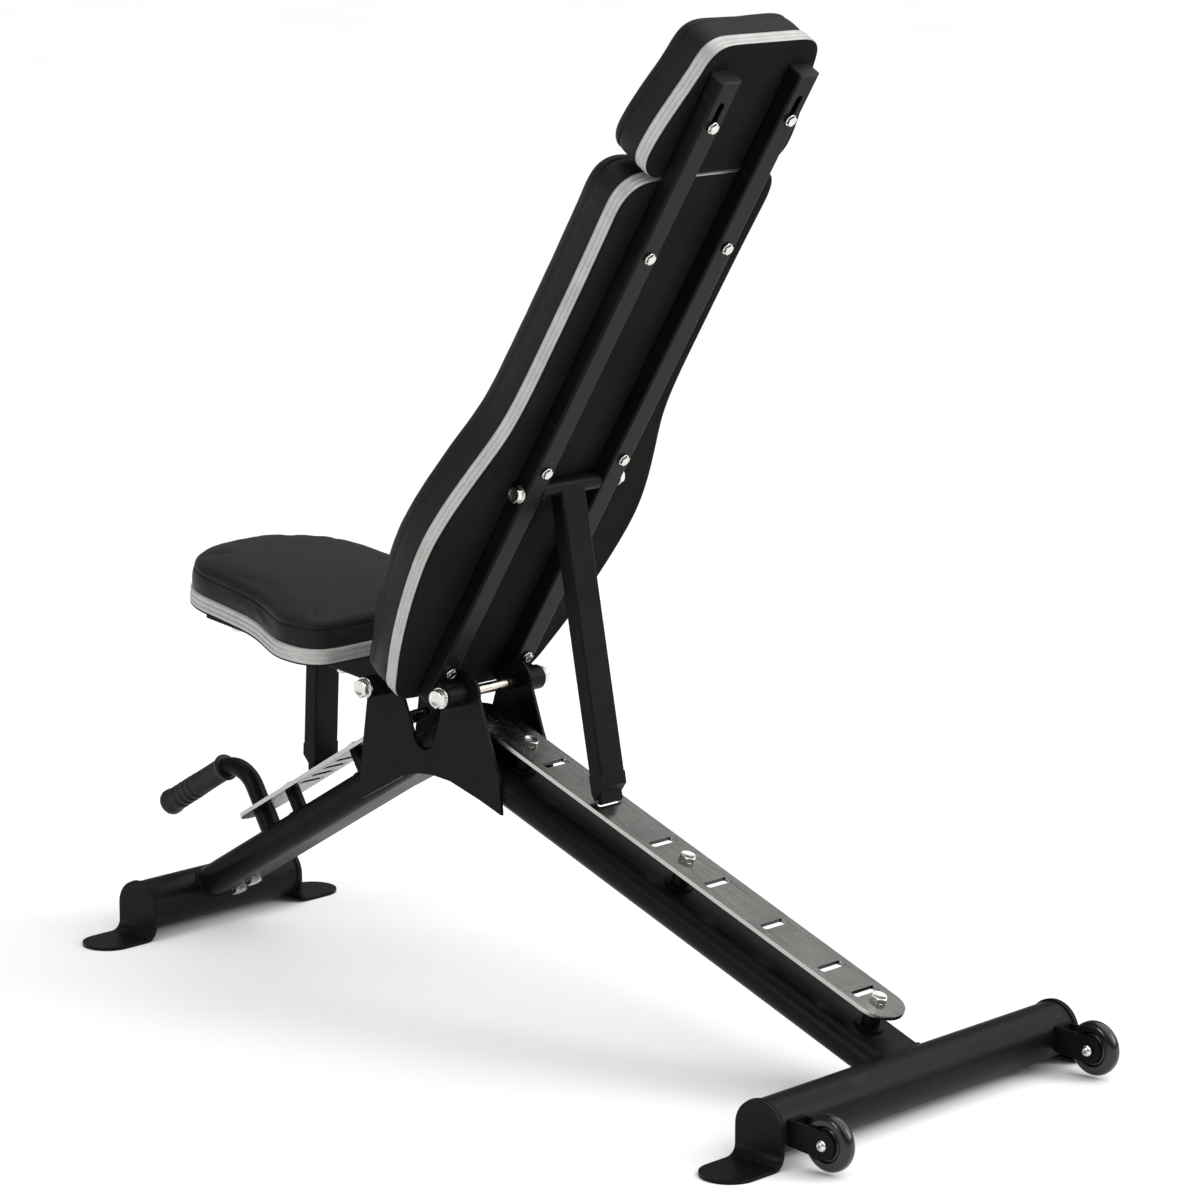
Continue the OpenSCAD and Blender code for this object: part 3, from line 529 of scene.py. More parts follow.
def pad_outline(cover, space, step):
    """The cover's outline in the pad's own space, anticlockwise, in equal steps."""
    local = space.to_local(node_points(cover))
    edge = local[local[:, 2] > local[:, 2].max() - 0.1 * MM][:, :2]
    centre = (edge.max(0) + edge.min(0)) / 2
    order = np.argsort(np.arctan2(edge[:, 1] - centre[1], edge[:, 0] - centre[0]))
    edge = edge[order]
    length = np.linalg.norm(edge - np.roll(edge, 1, 0), axis=1).sum()
    dense = relax(resample(edge, int(length / (1 * MM))), 60)
    return resample(dense, int(length / step))


def inset(points, amount):
    """Moves a closed line inward in small steps, rounding it as it goes."""
    steps = max(1, int(abs(amount) / (1.5 * MM)))
    for _ in range(steps):
        points = points - outward(points) * amount / steps
        if amount > 0:
            points = relax(points, 2)
    return points


# Side and edge of a pad, from the board to the face: inset and height in millimetres. The
# heights above TRIM_TOP are stretched to the pad's thickness, and the insets above EDGE_START
# follow on from each other, so that the corners round off.
PAD_PROFILE = [(6.0, 13.0), (2.0, 13.5), (1.0, 16.0), (0.0, 18.5), (-0.9, 22.5), (-1.5, 27.5),
               (-1.6, 33.0), (-1.2, 37.5), (-0.8, 40.0), (-0.5, 41.2), (0.7, 42.0), (0.8, 42.5),
               (-0.3, 43.3), (-0.5, 44.4), (0.0, 46.6), (1.1, 49.0), (3.0, 51.3), (5.6, 53.1),
               (8.8, 54.4), (12.5, 55.2), (17.0, 55.8), (23.0, 56.2)]
TRIM_TOP = 18.5
PROFILE_TOP = 56.2
EDGE_START = 30
SEAM_ROW = 11
# Size of the mesh on a face and along the outline, and the cover's thickness
FACE_STEP = 9 * MM
OUTLINE_STEP = 5.2 * MM
COVER_T = 1.5 * MM
# How far from the edge a crown has mostly risen
CROWN_REACH = 45 * MM
# The cover's rows and heights that the cloth simulation holds still
PINNED_ROWS = 4
PINNED_BELOW = 14 * MM
PUFF_FRAMES = 20
PUFF_PRESSURE = 4.0
# Farthest that the simulation moves a point
CAP_MOVE = 5 * MM
# Share of a sinking movement of the cover that the foam behind it takes back
FOAM_HOLD = 0.85


def pad_rings(outline, thickness):
    """The profile's rings, with the heights above the trim scaled to the pad's thickness."""
    rings = []
    line = outline
    at = 0.0
    scale = (thickness / MM - TRIM_TOP) / (PROFILE_TOP - TRIM_TOP)
    for depth, height in PAD_PROFILE:
        if depth <= 0 or height < EDGE_START:
            line, at = inset(outline, depth * MM), depth
        else:
            line, at = inset(line, (depth - at) * MM), depth
        lift = height if height <= TRIM_TOP else TRIM_TOP + (height - TRIM_TOP) * scale
        rings.append(np.column_stack([line, np.full(len(line), lift * MM)]))
    return rings


def fill_face(ring, step, crown):
    """Points and triangles that fill a flat ring, with the middle raised by crown."""
    edge = ring[:, :2]
    low, high = edge.min(0), edge.max(0)
    inner = []
    rows = int((high[1] - low[1]) / (step * 0.87)) + 1
    columns = int((high[0] - low[0]) / step) + 1
    nearest = []
    for r in range(rows):
        for c in range(columns + 1):
            p = np.array((low[0] + (c + 0.5 * (r % 2)) * step, low[1] + r * step * 0.87))
            gap = np.linalg.norm(edge - p, axis=1).min()
            if gap > step * 0.7 and inside(p, edge):
                inner.append(p)
                nearest.append(gap)
    coords = [Vector(p) for p in edge] + [Vector(p) for p in inner]
    count = len(edge)
    loop = [list(range(count))]
    flat, _, faces, origins, _, _ = delaunay_2d_cdt(coords, [], loop, 1, 1e-7)
    height = ring[:, 2].mean()
    gaps = [0.0] * count + nearest
    lifted = []
    for place, source in zip(flat, origins):
        rise = 1 - math.exp(-gaps[source[0]] / CROWN_REACH)
        lifted.append((place.x, place.y, height + crown * rise))
    return lifted, faces, [source[0] for source in origins]


def inside(p, edge):
    """Whether a point lies inside a closed line, by counting crossings."""
    a, b = edge, np.roll(edge, -1, 0)
    cross = (a[:, 1] > p[1]) != (b[:, 1] > p[1])
    with np.errstate(divide="ignore", invalid="ignore"):
        at = (b[:, 0] - a[:, 0]) * (p[1] - a[:, 1]) / (b[:, 1] - a[:, 1]) + a[:, 0]
    return np.count_nonzero(cross & (p[0] < at)) % 2 == 1


def closed_form(rings, crown=0.0, ripple=None):
    """Skins a stack of flat rings and fills both ends. The rings' points come first.

    The last end is raised by crown in its middle, or by what ripple gives at a place.
    """
    n = len(rings[0])
    verts = [tuple(v) for ring in rings for v in ring]
    faces = []
    for i in range(len(rings) - 1):
        a, b = i * n, (i + 1) * n
        faces += [(a + k, a + (k + 1) % n, b + (k + 1) % n, b + k) for k in range(n)]
    for ring, start, rise in ((rings[0], 0, 0.0), (rings[-1], (len(rings) - 1) * n, crown)):
        lifted, triangles, sources = fill_face(ring, FACE_STEP, rise)
        index = {}
        for i, source in enumerate(sources):
            if source < n:
                index[i] = start + source
            else:
                index[i] = len(verts)
                x, y, z = lifted[i]
                verts.append((x, y, z + (ripple(x, y) if ripple and start else 0.0)))
        faces += [tuple(index[i] for i in t) for t in triangles]
    return verts, faces


def puff(obj, pinned):
    """Inflates a closed mesh as cloth and applies the result, capped at CAP_MOVE."""
    rest = np.array([v.co for v in obj.data.vertices])
    normals = np.array([v.normal for v in obj.data.vertices])
    group = obj.vertex_groups.new(name="pinned")
    group.add(pinned, 1.0, "REPLACE")
    cloth = obj.modifiers.new("cloth", "CLOTH")
    settings = cloth.settings
    settings.use_pressure = True
    settings.uniform_pressure_force = PUFF_PRESSURE
    settings.vertex_group_mass = "pinned"
    settings.effector_weights.gravity = 0
    settings.quality = 4
    settings.tension_stiffness = 25
    settings.compression_stiffness = 25
    settings.bending_stiffness = 4
    cloth.point_cache.frame_start = 1
    cloth.point_cache.frame_end = PUFF_FRAMES
    scene = bpy.context.scene
    for f in range(1, PUFF_FRAMES + 1):
        scene.frame_set(f)
    depsgraph = bpy.context.evaluated_depsgraph_get()
    moved = np.array([v.co for v in obj.evaluated_get(depsgraph).data.vertices])
    obj.modifiers.remove(cloth)
    obj.vertex_groups.clear()
    scene.frame_set(1)
    shift = moved - rest
    sunk = np.minimum((shift * normals).sum(axis=1), 0)
    shift -= normals * (sunk * FOAM_HOLD)[:, None]
    length = np.linalg.norm(shift, axis=1)
    limit = CAP_MOVE * np.tanh(length / CAP_MOVE)
    scale = np.where(length > 1e-9, limit / np.maximum(length, 1e-9), 0)
    obj.data.vertices.foreach_set("co", (rest + shift * scale[:, None]).ravel())
    obj.data.update()


def crease(obj, first_free, depth):
    """Broad unevenness and soft pulls in the leather, along each vertex's own normal."""
    mesh = obj.data
    normals = [v.normal.copy() for v in mesh.vertices]
    for v, normal in zip(mesh.vertices, normals):
        if v.index < first_free:
            continue
        at = v.co
        broad = noise.noise(at * 14)
        pull = noise.noise(Vector((at.x * 26, at.y * 60, at.z * 60)) + Vector((9, 3, 1)))
        v.co = at + normal * depth * (0.7 * broad + 0.3 * pull)
    mesh.update()


def subdivide(obj):
    """One Catmull-Clark level, applied."""
    modifier = obj.modifiers.new("subdivision", "SUBSURF")
    modifier.levels = 1
    modifier.render_levels = 1
    depsgraph = bpy.context.evaluated_depsgraph_get()
    mesh = bpy.data.meshes.new_from_object(obj.evaluated_get(depsgraph))
    obj.modifiers.remove(modifier)
    old = obj.data
    obj.data = mesh
    bpy.data.meshes.remove(old)
    mesh.polygons.foreach_set("use_smooth", [True] * len(mesh.polygons))


# Trim band section, as outset and height in millimetres: three ribs with two grooves between
BAND_LOW = 1.3
RIB_WIDTH = 5.8
RIB_COUNT = 3
BAND_PROUD = 2.4
GROOVE_PROUD = 0.9


def band_section():
    points = [(-3.0, BAND_LOW + 1.2), (-2.0, BAND_LOW + 0.3), (0.2, BAND_LOW)]
    for i in range(RIB_COUNT):
        low = BAND_LOW + i * RIB_WIDTH
        points += [(GROOVE_PROUD, low), (BAND_PROUD - 0.35, low + 0.16 * RIB_WIDTH),
                   (BAND_PROUD, low + 0.36 * RIB_WIDTH), (BAND_PROUD, low + 0.64 * RIB_WIDTH),
                   (BAND_PROUD - 0.35, low + 0.84 * RIB_WIDTH)]
    top = BAND_LOW + RIB_COUNT * RIB_WIDTH
    return points + [(GROOVE_PROUD, top), (0.2, top + 0.6), (-1.6, top + 0.3), (-3.0, top - 0.8)]


def make_band(name, outline, space, body, node):
    """The woven trim band, swept round the outline."""
    section = band_section()
    rings = [[(*(point + out * proud * MM), height * MM) for proud, height in section]
             for point, out in zip(outline, outward(outline))]
    parts = Parts()
    parts.rings([space.to_world(ring) for ring in rings], loop=True)
    band = new_piece(name, parts.verts, parts.faces, BRAID, body)
    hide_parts(node)


def stitch_line(name, line, normal, heights, space, body, material, pitch, long, radius):
    """Short threads laid end to end along a closed line, at each height."""
    length = np.linalg.norm(line - np.roll(line, 1, 0), axis=1).sum()
    count = int(length / pitch)
    parts = Parts()
    at = resample(np.column_stack([line, normal]), count)
    ahead = np.roll(at, -1, 0)
    for height in heights:
        for here, there in zip(at, ahead):
            place = Vector((here[0], here[1], height))
            run = Vector((there[0] - here[0], there[1] - here[1], 0)).normalized()
            out = Vector((here[2], here[3], 0)).normalized()
            up = run.cross(out)
            rings = []
            for share, size, lift in ((0.0, 0.25, -0.4), (0.14, 0.85, 0.0), (0.5, 1.0, 0.2),
                                      (0.86, 0.85, 0.0), (1.0, 0.25, -0.4)):
                centre = place + run * long * share + out * radius * lift
                rings.append(circle_ring(centre, out, up, radius * size, 6))
            parts.rings([space.to_world([tuple(p) for p in ring]) for ring in rings])
    new_piece(name, parts.verts, parts.faces, material, body)


# Section of a board in its dust cloth, from the pad down: inset and height in millimetres
BOARD_PROFILE = [(2.3, 12.4), (1.2, 9.0), (1.0, 2.6), (-0.6, 1.5), (-1.7, 1.2), (-2.1, 0.4),
                 (-1.5, -0.3), (2.0, -0.4), (7.0, 0.1), (13.0, 0.45), (20.0, 0.3)]


def cloth_ripple(x, y):
    """How uneven the dust cloth lies at a place."""
    return noise.noise(Vector((x * 9, y * 22, 1.7))) * 0.35 * MM


def make_board(name, outline, space, body, node):
    """The plywood under its dust cloth, which is pulled smooth and folded over the edge."""
    rings = []
    line, at = outline, 0.0
    for depth, height in BOARD_PROFILE:
        line, at = inset(line, (depth - at) * MM), depth
        rings.append(np.column_stack([line, np.full(len(line), height * MM)]))
    verts, faces = closed_form(rings, ripple=cloth_ripple)
    board = new_piece(name, space.to_world(verts), faces, CLOTH, body)
    auto_smooth(board, 50)
    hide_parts(node)


def make_pad(prefix, body, thickness, crown):
    """Cover, trim band, stitches and board of a pad, round the outline of its CAD cover."""
    space = PadSpace(prefix + "_board")
    outline = inset(pad_outline(prefix + "_cover", space, OUTLINE_STEP), COVER_T)
    verts, faces = closed_form(pad_rings(outline, thickness), crown)
    pad = new_piece(prefix + "_upholstery", space.to_world(verts), faces, LEATHER, body)
    n = len(outline)
    bottom = [i for i, v in enumerate(verts) if v[2] < PINNED_BELOW]
    puff(pad, sorted(set(bottom) | set(range(n * PINNED_ROWS))))
    crease(pad, n * PINNED_ROWS, 0.9 * MM)
    seam = np.array([pad.data.vertices[i].co for i in range(n * SEAM_ROW, n * (SEAM_ROW + 1))])
    subdivide(pad)
    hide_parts(prefix + "_cover", prefix + "_foam")
    make_band(prefix + "_trim_band", outline, space, body, prefix + "_trim")
    normal = outward(outline)
    groove = outline + normal * (GROOVE_PROUD + 0.15) * MM
    heights = [(BAND_LOW + RIB_WIDTH * k) * MM for k in (1, 2)]
    stitch_line(prefix + "_trim_stitches", groove, normal, heights, space, body, SILVER_THREAD,
                4.2 * MM, 3.1 * MM, 0.42 * MM)
    local_seam = space.to_local(seam)
    seam_line = local_seam[:, :2] + outward(local_seam[:, :2]) * 0.9 * MM
    stitch_line(prefix + "_seam_stitches", seam_line, normal, [local_seam[:, 2].mean() - 2.6 * MM],
                space, body, BLACK_THREAD, 4.6 * MM, 3.2 * MM, 0.4 * MM)
    make_board(prefix + "_dust_cover", outline, space, body, prefix + "_board")


# Each pad's body, the height of its face above the board's underside, and the face's crown
make_pad("back", "backrest", 63.5 * MM, 2.2 * MM)
make_pad("head", "headrest", 63.0 * MM, 1.8 * MM)
make_pad("seat", "seat", 54.8 * MM, 2.4 * MM)


# --- Bolts and nuts ---

HEX_STEPS = 48


def hex_radius(angle, flats):
    """Distance from the centre of a hexagon to its edge."""
    turn = (angle + math.pi / 6) % (math.pi / 3) - math.pi / 6
    return flats / 2 / math.cos(turn)


def add_hex(parts, base, axis, flats, height, bore=0.0, both_ends=False):
    """A chamfered hexagon that stands on base. With a bore it is a nut."""
    across, up = axes_of(axis)
    axis = Vector(axis).normalized()
    slope = math.tan(math.radians(28))
    crown = flats / 2 * 0.96

    def ring(kind, level):
        points = []
        for k in range(HEX_STEPS):
            a = 2 * math.pi * k / HEX_STEPS
            edge = hex_radius(a, flats)
            radius, at = edge, level
            if kind == "crown":
                radius = crown
            elif kind == "top":
                at = level - max(0.0, edge - crown) * slope
            elif kind == "foot":
                at = level + max(0.0, edge - crown) * slope
            elif kind == "dish":
                radius = crown * 0.78
            elif kind == "floor":
                radius = crown * 0.72
                at = level - 0.25 * MM
            elif kind == "bore":
                radius = bore
            points.append(base + axis * at + (across * math.cos(a) + up * math.sin(a)) * radius)
        return points

    start = [ring("crown", 0.0), ring("foot", 0.0)] if both_ends else [ring("edge", 0.0)]
    end = [ring("top", height), ring("crown", height)]
    if bore:
        end += [ring("bore", height), ring("bore", 0.0)]
        parts.rings(start + end, loop=True)
    else:
        end += [ring("dish", height), ring("floor", height)]
        parts.rings(start + end)


def add_disc(parts, base, axis, radius, height, edge=0.35 * MM, bore=0.0):
    """A washer or flange with softened rims."""
    across, up = axes_of(axis)
    axis = Vector(axis).normalized()
    profile = [(radius - edge, 0.0), (radius, edge), (radius, height - edge),
               (radius - edge, height)]
    if bore:
        profile += [(bore, height), (bore, 0.0)]
    rings = [circle_ring(base + axis * at, across, up, r, HEX_STEPS) for r, at in profile]
    parts.rings(rings, loop=bool(bore))


def add_rod(parts, base, axis, radius, length):
    across, up = axes_of(axis)
    axis = Vector(axis).normalized()
    profile = [(radius, 0.0), (radius, length)]
    parts.rings([circle_ring(base + axis * at, across, up, r, HEX_STEPS) for r, at in profile])


def add_thread(parts, base, axis, radius, length, pitch):
    """A screw thread whose end is pointed a little."""
    across, up = axes_of(axis)
    axis = Vector(axis).normalized()
    steps = max(6, int(length / pitch * 8))
    rings = []
    for i in range(steps + 1):
        at = length * i / steps
        fade = min(1.0, (length - at) / (1.2 * MM) + 0.25)
        points = []
        for k in range(HEX_STEPS):
            a = 2 * math.pi * k / HEX_STEPS
            phase = (at / pitch - k / HEX_STEPS) % 1.0
            groove = abs(phase - 0.5) * 2 * 0.55 * pitch * 0.6
            r = (radius - groove) * (0.86 + 0.14 * fade)
            points.append(base + axis * at + (across * math.cos(a) + up * math.sin(a)) * r)
        rings.append(points)
    parts.rings(rings)


def finish_hardware(name, parts, node, body, material=ZINC):
    """Makes the piece, which stands for the node if one is given."""
    piece = new_piece(name, parts.verts, parts.faces, material, body)
    auto_smooth(piece, 28)
    if node:
        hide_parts(node)


def standing_bolts(name, node, body, axis, flats, head, shank_r, flange=0.0, cad_head=None):
    """Hex bolts whose heads stand proud along axis, one for each solid of the node."""
    axis = Vector(axis).normalized()
    parts = Parts()
    for group in islands(node):
        reach = [p.dot(axis) for p in group]
        top, bottom = max(reach), min(reach)
        crown = [p for p in group if p.dot(axis) > top - 0.1 * MM]
        foot = sum(crown, Vector()) / len(crown) - axis * (cad_head or head)
        if flange:
            add_disc(parts, foot - axis * 0.1 * MM, axis, flange, 1.3 * MM)
        add_hex(parts, foot, axis, flats, head)
        add_disc(parts, foot - axis * 0.1 * MM, axis, flats / 2 * 1.04, 0.9 * MM)
        shank = top - (cad_head or head) - bottom
        add_rod(parts, foot - axis * shank, axis, shank_r, shank)
    finish_hardware(name, parts, node, body)


def cross_bolt(name, node, body, flats, head, nut, radius, washer=0.0, washer_t=0.0,
               shaft=None):
    """A through bolt along X with its head on the +X side and a lock nut on the other.

    With a shaft material, its rod is a piece of its own.
    """
    low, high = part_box(node)
    y, z = (low.y + high.y) / 2, (low.z + high.z) / 2
    parts = Parts()
    x_axis = Vector((1, 0, 0))
    face = high.x - head
    nut_face = low.x + 3 * MM + nut
    add_hex(parts, Vector((face, y, z)), x_axis, flats, head)
    add_disc(parts, Vector((face - 0.1 * MM, y, z)), x_axis, flats / 2 * 1.04, 1.0 * MM)
    rod = Parts() if shaft else parts
    add_rod(rod, Vector((nut_face - nut, y, z)), x_axis, radius, face - nut_face + nut)
    if shaft:
        finish_hardware(name + "_shaft", rod, None, body, shaft)
    add_thread(parts, Vector((nut_face - nut, y, z)), -x_axis, radius * 0.98, 3 * MM, 1.5 * MM)
    add_hex(parts, Vector((nut_face, y, z)), -x_axis, flats, nut * 0.72, bore=radius * 0.99,
            both_ends=True)
    add_disc(parts, Vector((nut_face - nut * 0.68, y, z)), -x_axis, flats / 2 * 0.92, nut * 0.32,
             0.9 * MM, bore=radius * 0.99)
    if washer:
        for at in (face - washer_t, nut_face):
            add_disc(parts, Vector((at, y, z)), x_axis, washer, washer_t, bore=radius * 1.01)
    finish_hardware(name, parts, node, body)


# Button head of an axle, as height and radius in millimetres, down to the floor of its socket
BUTTON_HEAD = [(0.0, 5.9), (0.5, 6.3), (1.6, 6.2), (3.0, 5.4), (4.1, 4.1), (4.5, 3.0), (4.4, 2.6),
               (2.6, 2.5)]


def make_axles():
    """Axle screws of the wheels, with a button head on the +X side and a nut on the other."""
    parts = Parts()
    x_axis = Vector((1, 0, 0))
    for group in islands("wheel_axles"):
        low = Vector([min(p[k] for p in group) for k in range(3)])
        high = Vector([max(p[k] for p in group) for k in range(3)])
        y, z = (low.y + high.y) / 2, (low.z + high.z) / 2
        face, nut_face = high.x - 5.3 * MM, low.x + 7 * MM
        across, up = axes_of(x_axis)
        head = Vector((face - 0.1 * MM, y, z))
        parts.rings([circle_ring(head + x_axis * at * MM, across, up, r * MM, HEX_STEPS)
                     for at, r in BUTTON_HEAD])
        add_rod(parts, Vector((nut_face - 5 * MM, y, z)), x_axis, 4 * MM, face - nut_face + 5 * MM)
        add_thread(parts, Vector((nut_face - 5 * MM, y, z)), -x_axis, 3.9 * MM, 2 * MM, 1.25 * MM)
        add_hex(parts, Vector((nut_face, y, z)), -x_axis, M8, 6 * MM, bore=3.98 * MM,
                both_ends=True)
    finish_hardware("axle_screws", parts, "wheel_axles", "base")


BACK_OUT = PadSpace("back_board").turn @ Vector((0, 0, 1))
SEAT_OUT = PadSpace("seat_board").turn @ Vector((0, 0, 1))
FRONT_UP = Vector((0, -math.sin(math.radians(FRONT_SLOPE)), math.cos(math.radians(FRONT_SLOPE))))
REAR_UP = Vector((0, -math.sin(math.radians(REAR_SLOPE)), math.cos(math.radians(REAR_SLOPE))))
# Width across the flats
M8, M10, M12 = 13 * MM, 17 * MM, 19 * MM
# Flats, head, shank radius, flange radius and the CAD head's height
M10_BOLT = (M10, 6.4 * MM, 5 * MM)
PAD_BOLT = (11 * MM, 4.2 * MM, 4 * MM, 6.8 * MM, 5.3 * MM)
# Flats, head, nut and rod radius, and for the props a washer's radius and thickness
PIVOT_BOLT = (M12, 7.5 * MM, 10 * MM, 6 * MM)
PROP_BOLT = (M10, 6.4 * MM, 8 * MM, 5 * MM, 10.5 * MM, 2 * MM)


def make_hardware():
    for name, node, axis in (("rear_ladder_screws", "rear_ladder_bolts", REAR_UP),
                             ("front_ladder_screws", "front_ladder_bolts", FRONT_UP),
                             ("joint_screws", "front_joint_bolts", -FRONT_UP)):
        standing_bolts(name, node, "base", axis, *M10_BOLT)
    for name, node, body, axis in (("back_pad_screws", "back_pad_bolts", "backrest", -BACK_OUT),
                                   ("head_pad_screws", "head_bolts", "headrest", -BACK_OUT),
                                   ("seat_pad_screws", "seat_pad_bolts", "seat", -SEAT_OUT)):
        standing_bolts(name, node, body, axis, *PAD_BOLT)
    for side in ("back", "seat"):
        cross_bolt(side + "_pivot_screw", side + "_pivot_bolt", "base", *PIVOT_BOLT,
                   shaft=YELLOW_ZINC)
    for side, body in (("back", "backrest"), ("seat", "seat")):
        cross_bolt(side + "_prop_screw", side + "_prop_bolt", body, *PROP_BOLT)
    make_axles()


make_hardware()


# --- Handle grip ---

# Sleeve: distance from the bend and radius, in millimetres, before and after its rings
GRIP_PROFILE = [(-6.0, 11.4), (-6.0, 15.3), (-5.4, 16.2), (-3.8, 16.6), (-2.2, 16.3), (-1.2, 15.2),
                (-0.4, 14.5), (3.0, 14.2), (28.0, 14.1), (49.0, 14.3)]
GRIP_TAIL = [(98.2, 14.5), (102.2, 14.8), (106.2, 15.6), (110.2, 16.1), (113.7, 16.0),
             (116.4, 15.0), (117.8, 13.2), (118.2, 11.0), (118.2, 5.2), (117.4, 4.2), (112.2, 4.0)]
RING_COUNT = 4
RING_START = 53.0
RING_PITCH = 10.5


def make_grip():
    """A rubber sleeve with a collar, rounded rings towards its end and a thick blind end."""
    axis = Vector((0, -math.cos(math.radians(FRONT_SLOPE)), -math.sin(math.radians(FRONT_SLOPE))))
    points = [Vector(p) for p in node_points("handle_grip")]
    reach = [p.dot(axis) for p in points]
    start = min(reach)
    ring = [p for p, r in zip(points, reach) if r < start + 0.1 * MM]
    centre = sum(ring, Vector()) / len(ring)
    across, up = axes_of(axis)
    profile = list(GRIP_PROFILE)
    for k in range(RING_COUNT):
        at = RING_START + RING_PITCH * k
        profile += [(at, 14.6), (at + 1.6, 14.4), (at + 2.3, 13.4), (at + 3.2, 13.0),
                    (at + 4.1, 13.4), (at + 4.8, 14.4), (at + 7.5, 14.8)]
    profile += GRIP_TAIL
    parts = Parts()
    parts.rings([circle_ring(centre + axis * at * MM, across, up, r * MM, 64)
                 for at, r in profile])
    grip = new_piece("rubber_grip", parts.verts, parts.faces, RUBBER, "base")
    auto_smooth(grip, 60)
    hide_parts("handle_grip")


make_grip()


# --- Weld beads ---


def add_bead(parts, points, radius, closed=False):
    """A rippled bead along a line. Each ripple is a little thicker at its leading edge."""
    path = [Vector(p) for p in points]
    if closed:
        path.append(path[0])
    lengths = [0.0]
    for a, b in zip(path, path[1:]):
        lengths.append(lengths[-1] + (b - a).length)
    count = max(6, int(lengths[-1] / (0.75 * MM)))
    at = np.linspace(0, lengths[-1], count, endpoint=not closed)
    line = np.column_stack([np.interp(at, lengths, [p[k] for p in path]) for k in range(3)])
    rings = []
    for i in range(count):
        before = line[(i - 1) % count] if closed or i else line[0]
        after = line[(i + 1) % count] if closed or i < count - 1 else line[-1]
        across, up = axes_of(Vector(after) - Vector(before))
        ripple = (at[i] / (2.6 * MM)) % 1.0
        size = radius * (0.88 + 0.22 * ripple + 0.06 * noise.noise(Vector(line[i]) * 150))
        if not closed:
            size *= min(1.0, 0.35 + min(i, count - 1 - i) / 3)
        rings.append(circle_ring(Vector(line[i]), across, up, size, 10))
    parts.rings(rings, loop=closed)


def foot_welds(parts):
    """Round the ends of the cross tubes, where the foot plates are welded on."""
    for node in ("front_cross_tube", "rear_cross_tube"):
        low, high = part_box(node)
        y, z, r = (low.y + high.y) / 2, (low.z + high.z) / 2, (high.z - low.z) / 2
        for x, side in ((low.x, 1), (high.x, -1)):
            centre = Vector((x + side * 0.9 * MM, y, z))
            add_bead(parts, circle_ring(centre, Vector((0, 1, 0)), Vector((0, 0, 1)),
                                        r + 0.3 * MM, 96), 1.9 * MM, True)


# Width and depth of the main tubes
OVAL_W, OVAL_D = 80 * MM, 38 * MM


def oval_points(count):
    """The flat-oval section of the main tubes, as places across and above its axis."""
    r = OVAL_D / 2
    flat = OVAL_W / 2 - r
    points = []
    for k in range(count):
        a = 2 * math.pi * (k + 0.5) / count
        points.append((math.copysign(flat, math.cos(a)) + r * math.cos(a), r * math.sin(a)))
    return points


def saddle_weld(parts, cross, centre, along, up):
    """Where a main tube meets the round cross tube."""
    low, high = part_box(cross)
    axis = Vector((0, (low.y + high.y) / 2, (low.z + high.z) / 2))
    r = (high.z - low.z) / 2
    path = []
    for x, rise in oval_points(120):
        start = centre + up * rise - axis
        b = start.dot(along)
        c = start.dot(start) - (r + 0.2 * MM) ** 2
        reach = -b + math.sqrt(max(0.0, b * b - c))
        path.append(axis + start + along * reach + Vector((x, 0, 0)))
    add_bead(parts, path, 2.3 * MM, True)


# Height of the front main tube's axis above the cross tube's axis
AXIS_LIFT = 4 * MM


def make_welds():
    parts = Parts()
    foot_welds(parts)
    low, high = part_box("front_cross_tube")
    front = Vector((0, (low.y + high.y) / 2, (low.z + high.z) / 2 + AXIS_LIFT))
    forward = Vector((0, math.cos(math.radians(FRONT_SLOPE)), math.sin(math.radians(FRONT_SLOPE))))
    saddle_weld(parts, "front_cross_tube", front, forward, FRONT_UP)
    low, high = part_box("rear_cross_tube")
    rear = Vector((0, (low.y + high.y) / 2, (low.z + high.z) / 2))
    back = Vector((0, -math.cos(math.radians(REAR_SLOPE)), -math.sin(math.radians(REAR_SLOPE))))
    saddle_weld(parts, "rear_cross_tube", rear, back, REAR_UP)
    new_piece("frame_welds", parts.verts, parts.faces, PAINT, "base")


make_welds()


# --- CAD nodes that stay: softened edges ---

# Bevel width in millimetres
BEVELLED = {
    "front_foot_left": 0.8, "front_foot_right": 0.8, "rear_foot_left": 0.8, "rear_foot_right": 0.8,
    "pivot_plate_left": 0.7, "pivot_plate_right": 0.7, "rear_ladder": 0.5, "front_ladder": 0.5,
    "back_rail_caps": 0.7, "seat_rail_caps": 0.7, "back_prop_tongue": 0.6,
    "seat_prop_tongue": 0.6, "wheel_fork_left": 0.5, "wheel_fork_right": 0.5,
    "pivot_washers": 0.3, "pivot_spacers": 0.4,
}


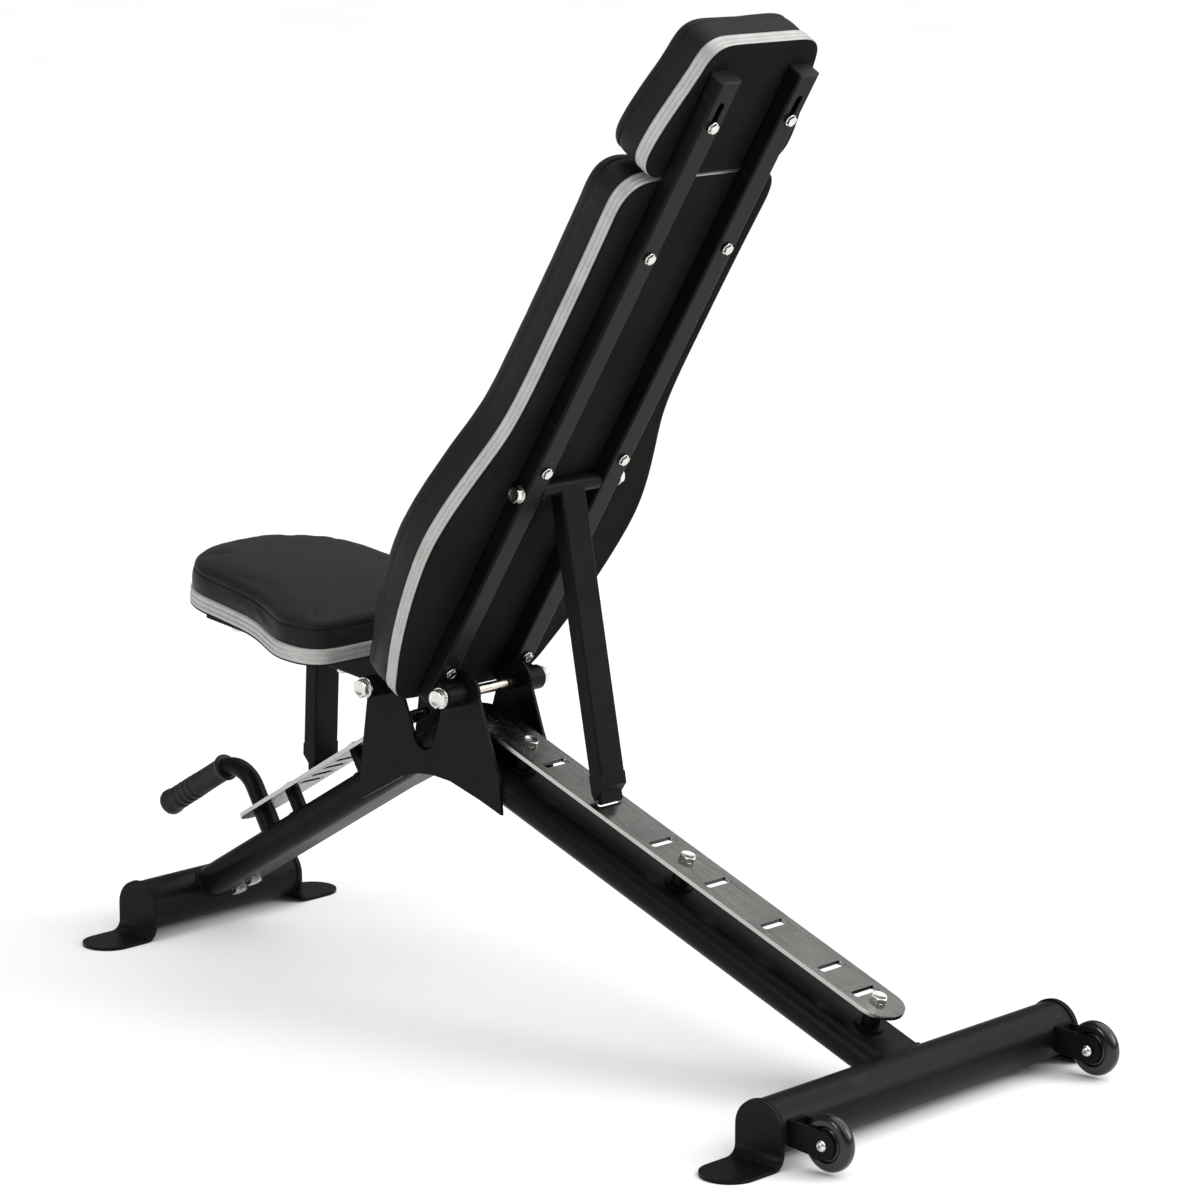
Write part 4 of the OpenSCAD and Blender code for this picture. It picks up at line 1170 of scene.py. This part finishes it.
def soften():
    for name, width in BEVELLED.items():
        obj = NODES[name]
        weld = obj.modifiers.new("weld", "WELD")
        weld.merge_threshold = 1e-6
        bevel = obj.modifiers.new("bevel", "BEVEL")
        bevel.width = width * MM
        bevel.segments = 2
        bevel.limit_method = "ANGLE"
        bevel.angle_limit = math.radians(35)
        bevel.harden_normals = True


soften()


# --- Floor and lights ---


def floor_material():
    s = Shader("studio_floor", Specular_IOR_Level=0.2)
    cloud = s.noise(s.place(), 1.4, 3)
    s.colour(s.mix(s.ramp(cloud, 0.3, 0.7), (0.885, 0.885, 0.885), (0.90, 0.90, 0.90)))
    s.rough(s.ramp(cloud, 0.3, 0.7, 0.7, 0.8))
    return s.material


def make_floor():
    """A plain floor that reaches past every view of the bench."""
    half = 60.0
    mesh = bpy.data.meshes.new("studio_floor")
    corners = [(-half, -half, 0), (half, -half, 0), (half, half, 0), (-half, half, 0)]
    mesh.from_pydata(corners, [], [(0, 1, 2, 3)])
    floor = bpy.data.objects.new("studio_floor", mesh)
    bpy.context.scene.collection.objects.link(floor)
    dress(floor, floor_material())


def aimed_light(kind, name, place, power, target=(0.0, 0.0, 0.45)):
    """A light that stands at place and points at the middle of the bench."""
    data = bpy.data.lights.new(name, kind)
    data.energy = power
    light = bpy.data.objects.new(name, data)
    light.location = place
    aim = Vector(target) - Vector(place)
    light.rotation_euler = aim.to_track_quat("-Z", "Y").to_euler()
    bpy.context.scene.collection.objects.link(light)
    return data


def soft_box(name, place, width, height, power):
    data = aimed_light("AREA", name, place, power)
    data.shape = "RECTANGLE"
    data.size = width
    data.size_y = height


def make_lights():
    """A broad overhead light that whitens the floor, with soft boxes for the highlights."""
    sky = aimed_light("SUN", "sky_panel", (-1.5, 2.0, 5.0), 3.4)
    sky.angle = math.radians(100)
    soft_box("left_box", (-2.2, 3.4, 2.2), 1.2, 2.2, 60)
    soft_box("right_box", (4.4, -0.6, 1.9), 1.0, 2.0, 55)
    world = bpy.data.worlds.new("studio")
    world.use_nodes = True
    background = world.node_tree.nodes["Background"]
    background.inputs["Color"].default_value = (0.97, 0.98, 1.0, 1)
    background.inputs["Strength"].default_value = 0.22
    bpy.context.scene.world = world
    bpy.context.scene.view_settings.view_transform = "Standard"


make_floor()
make_lights()
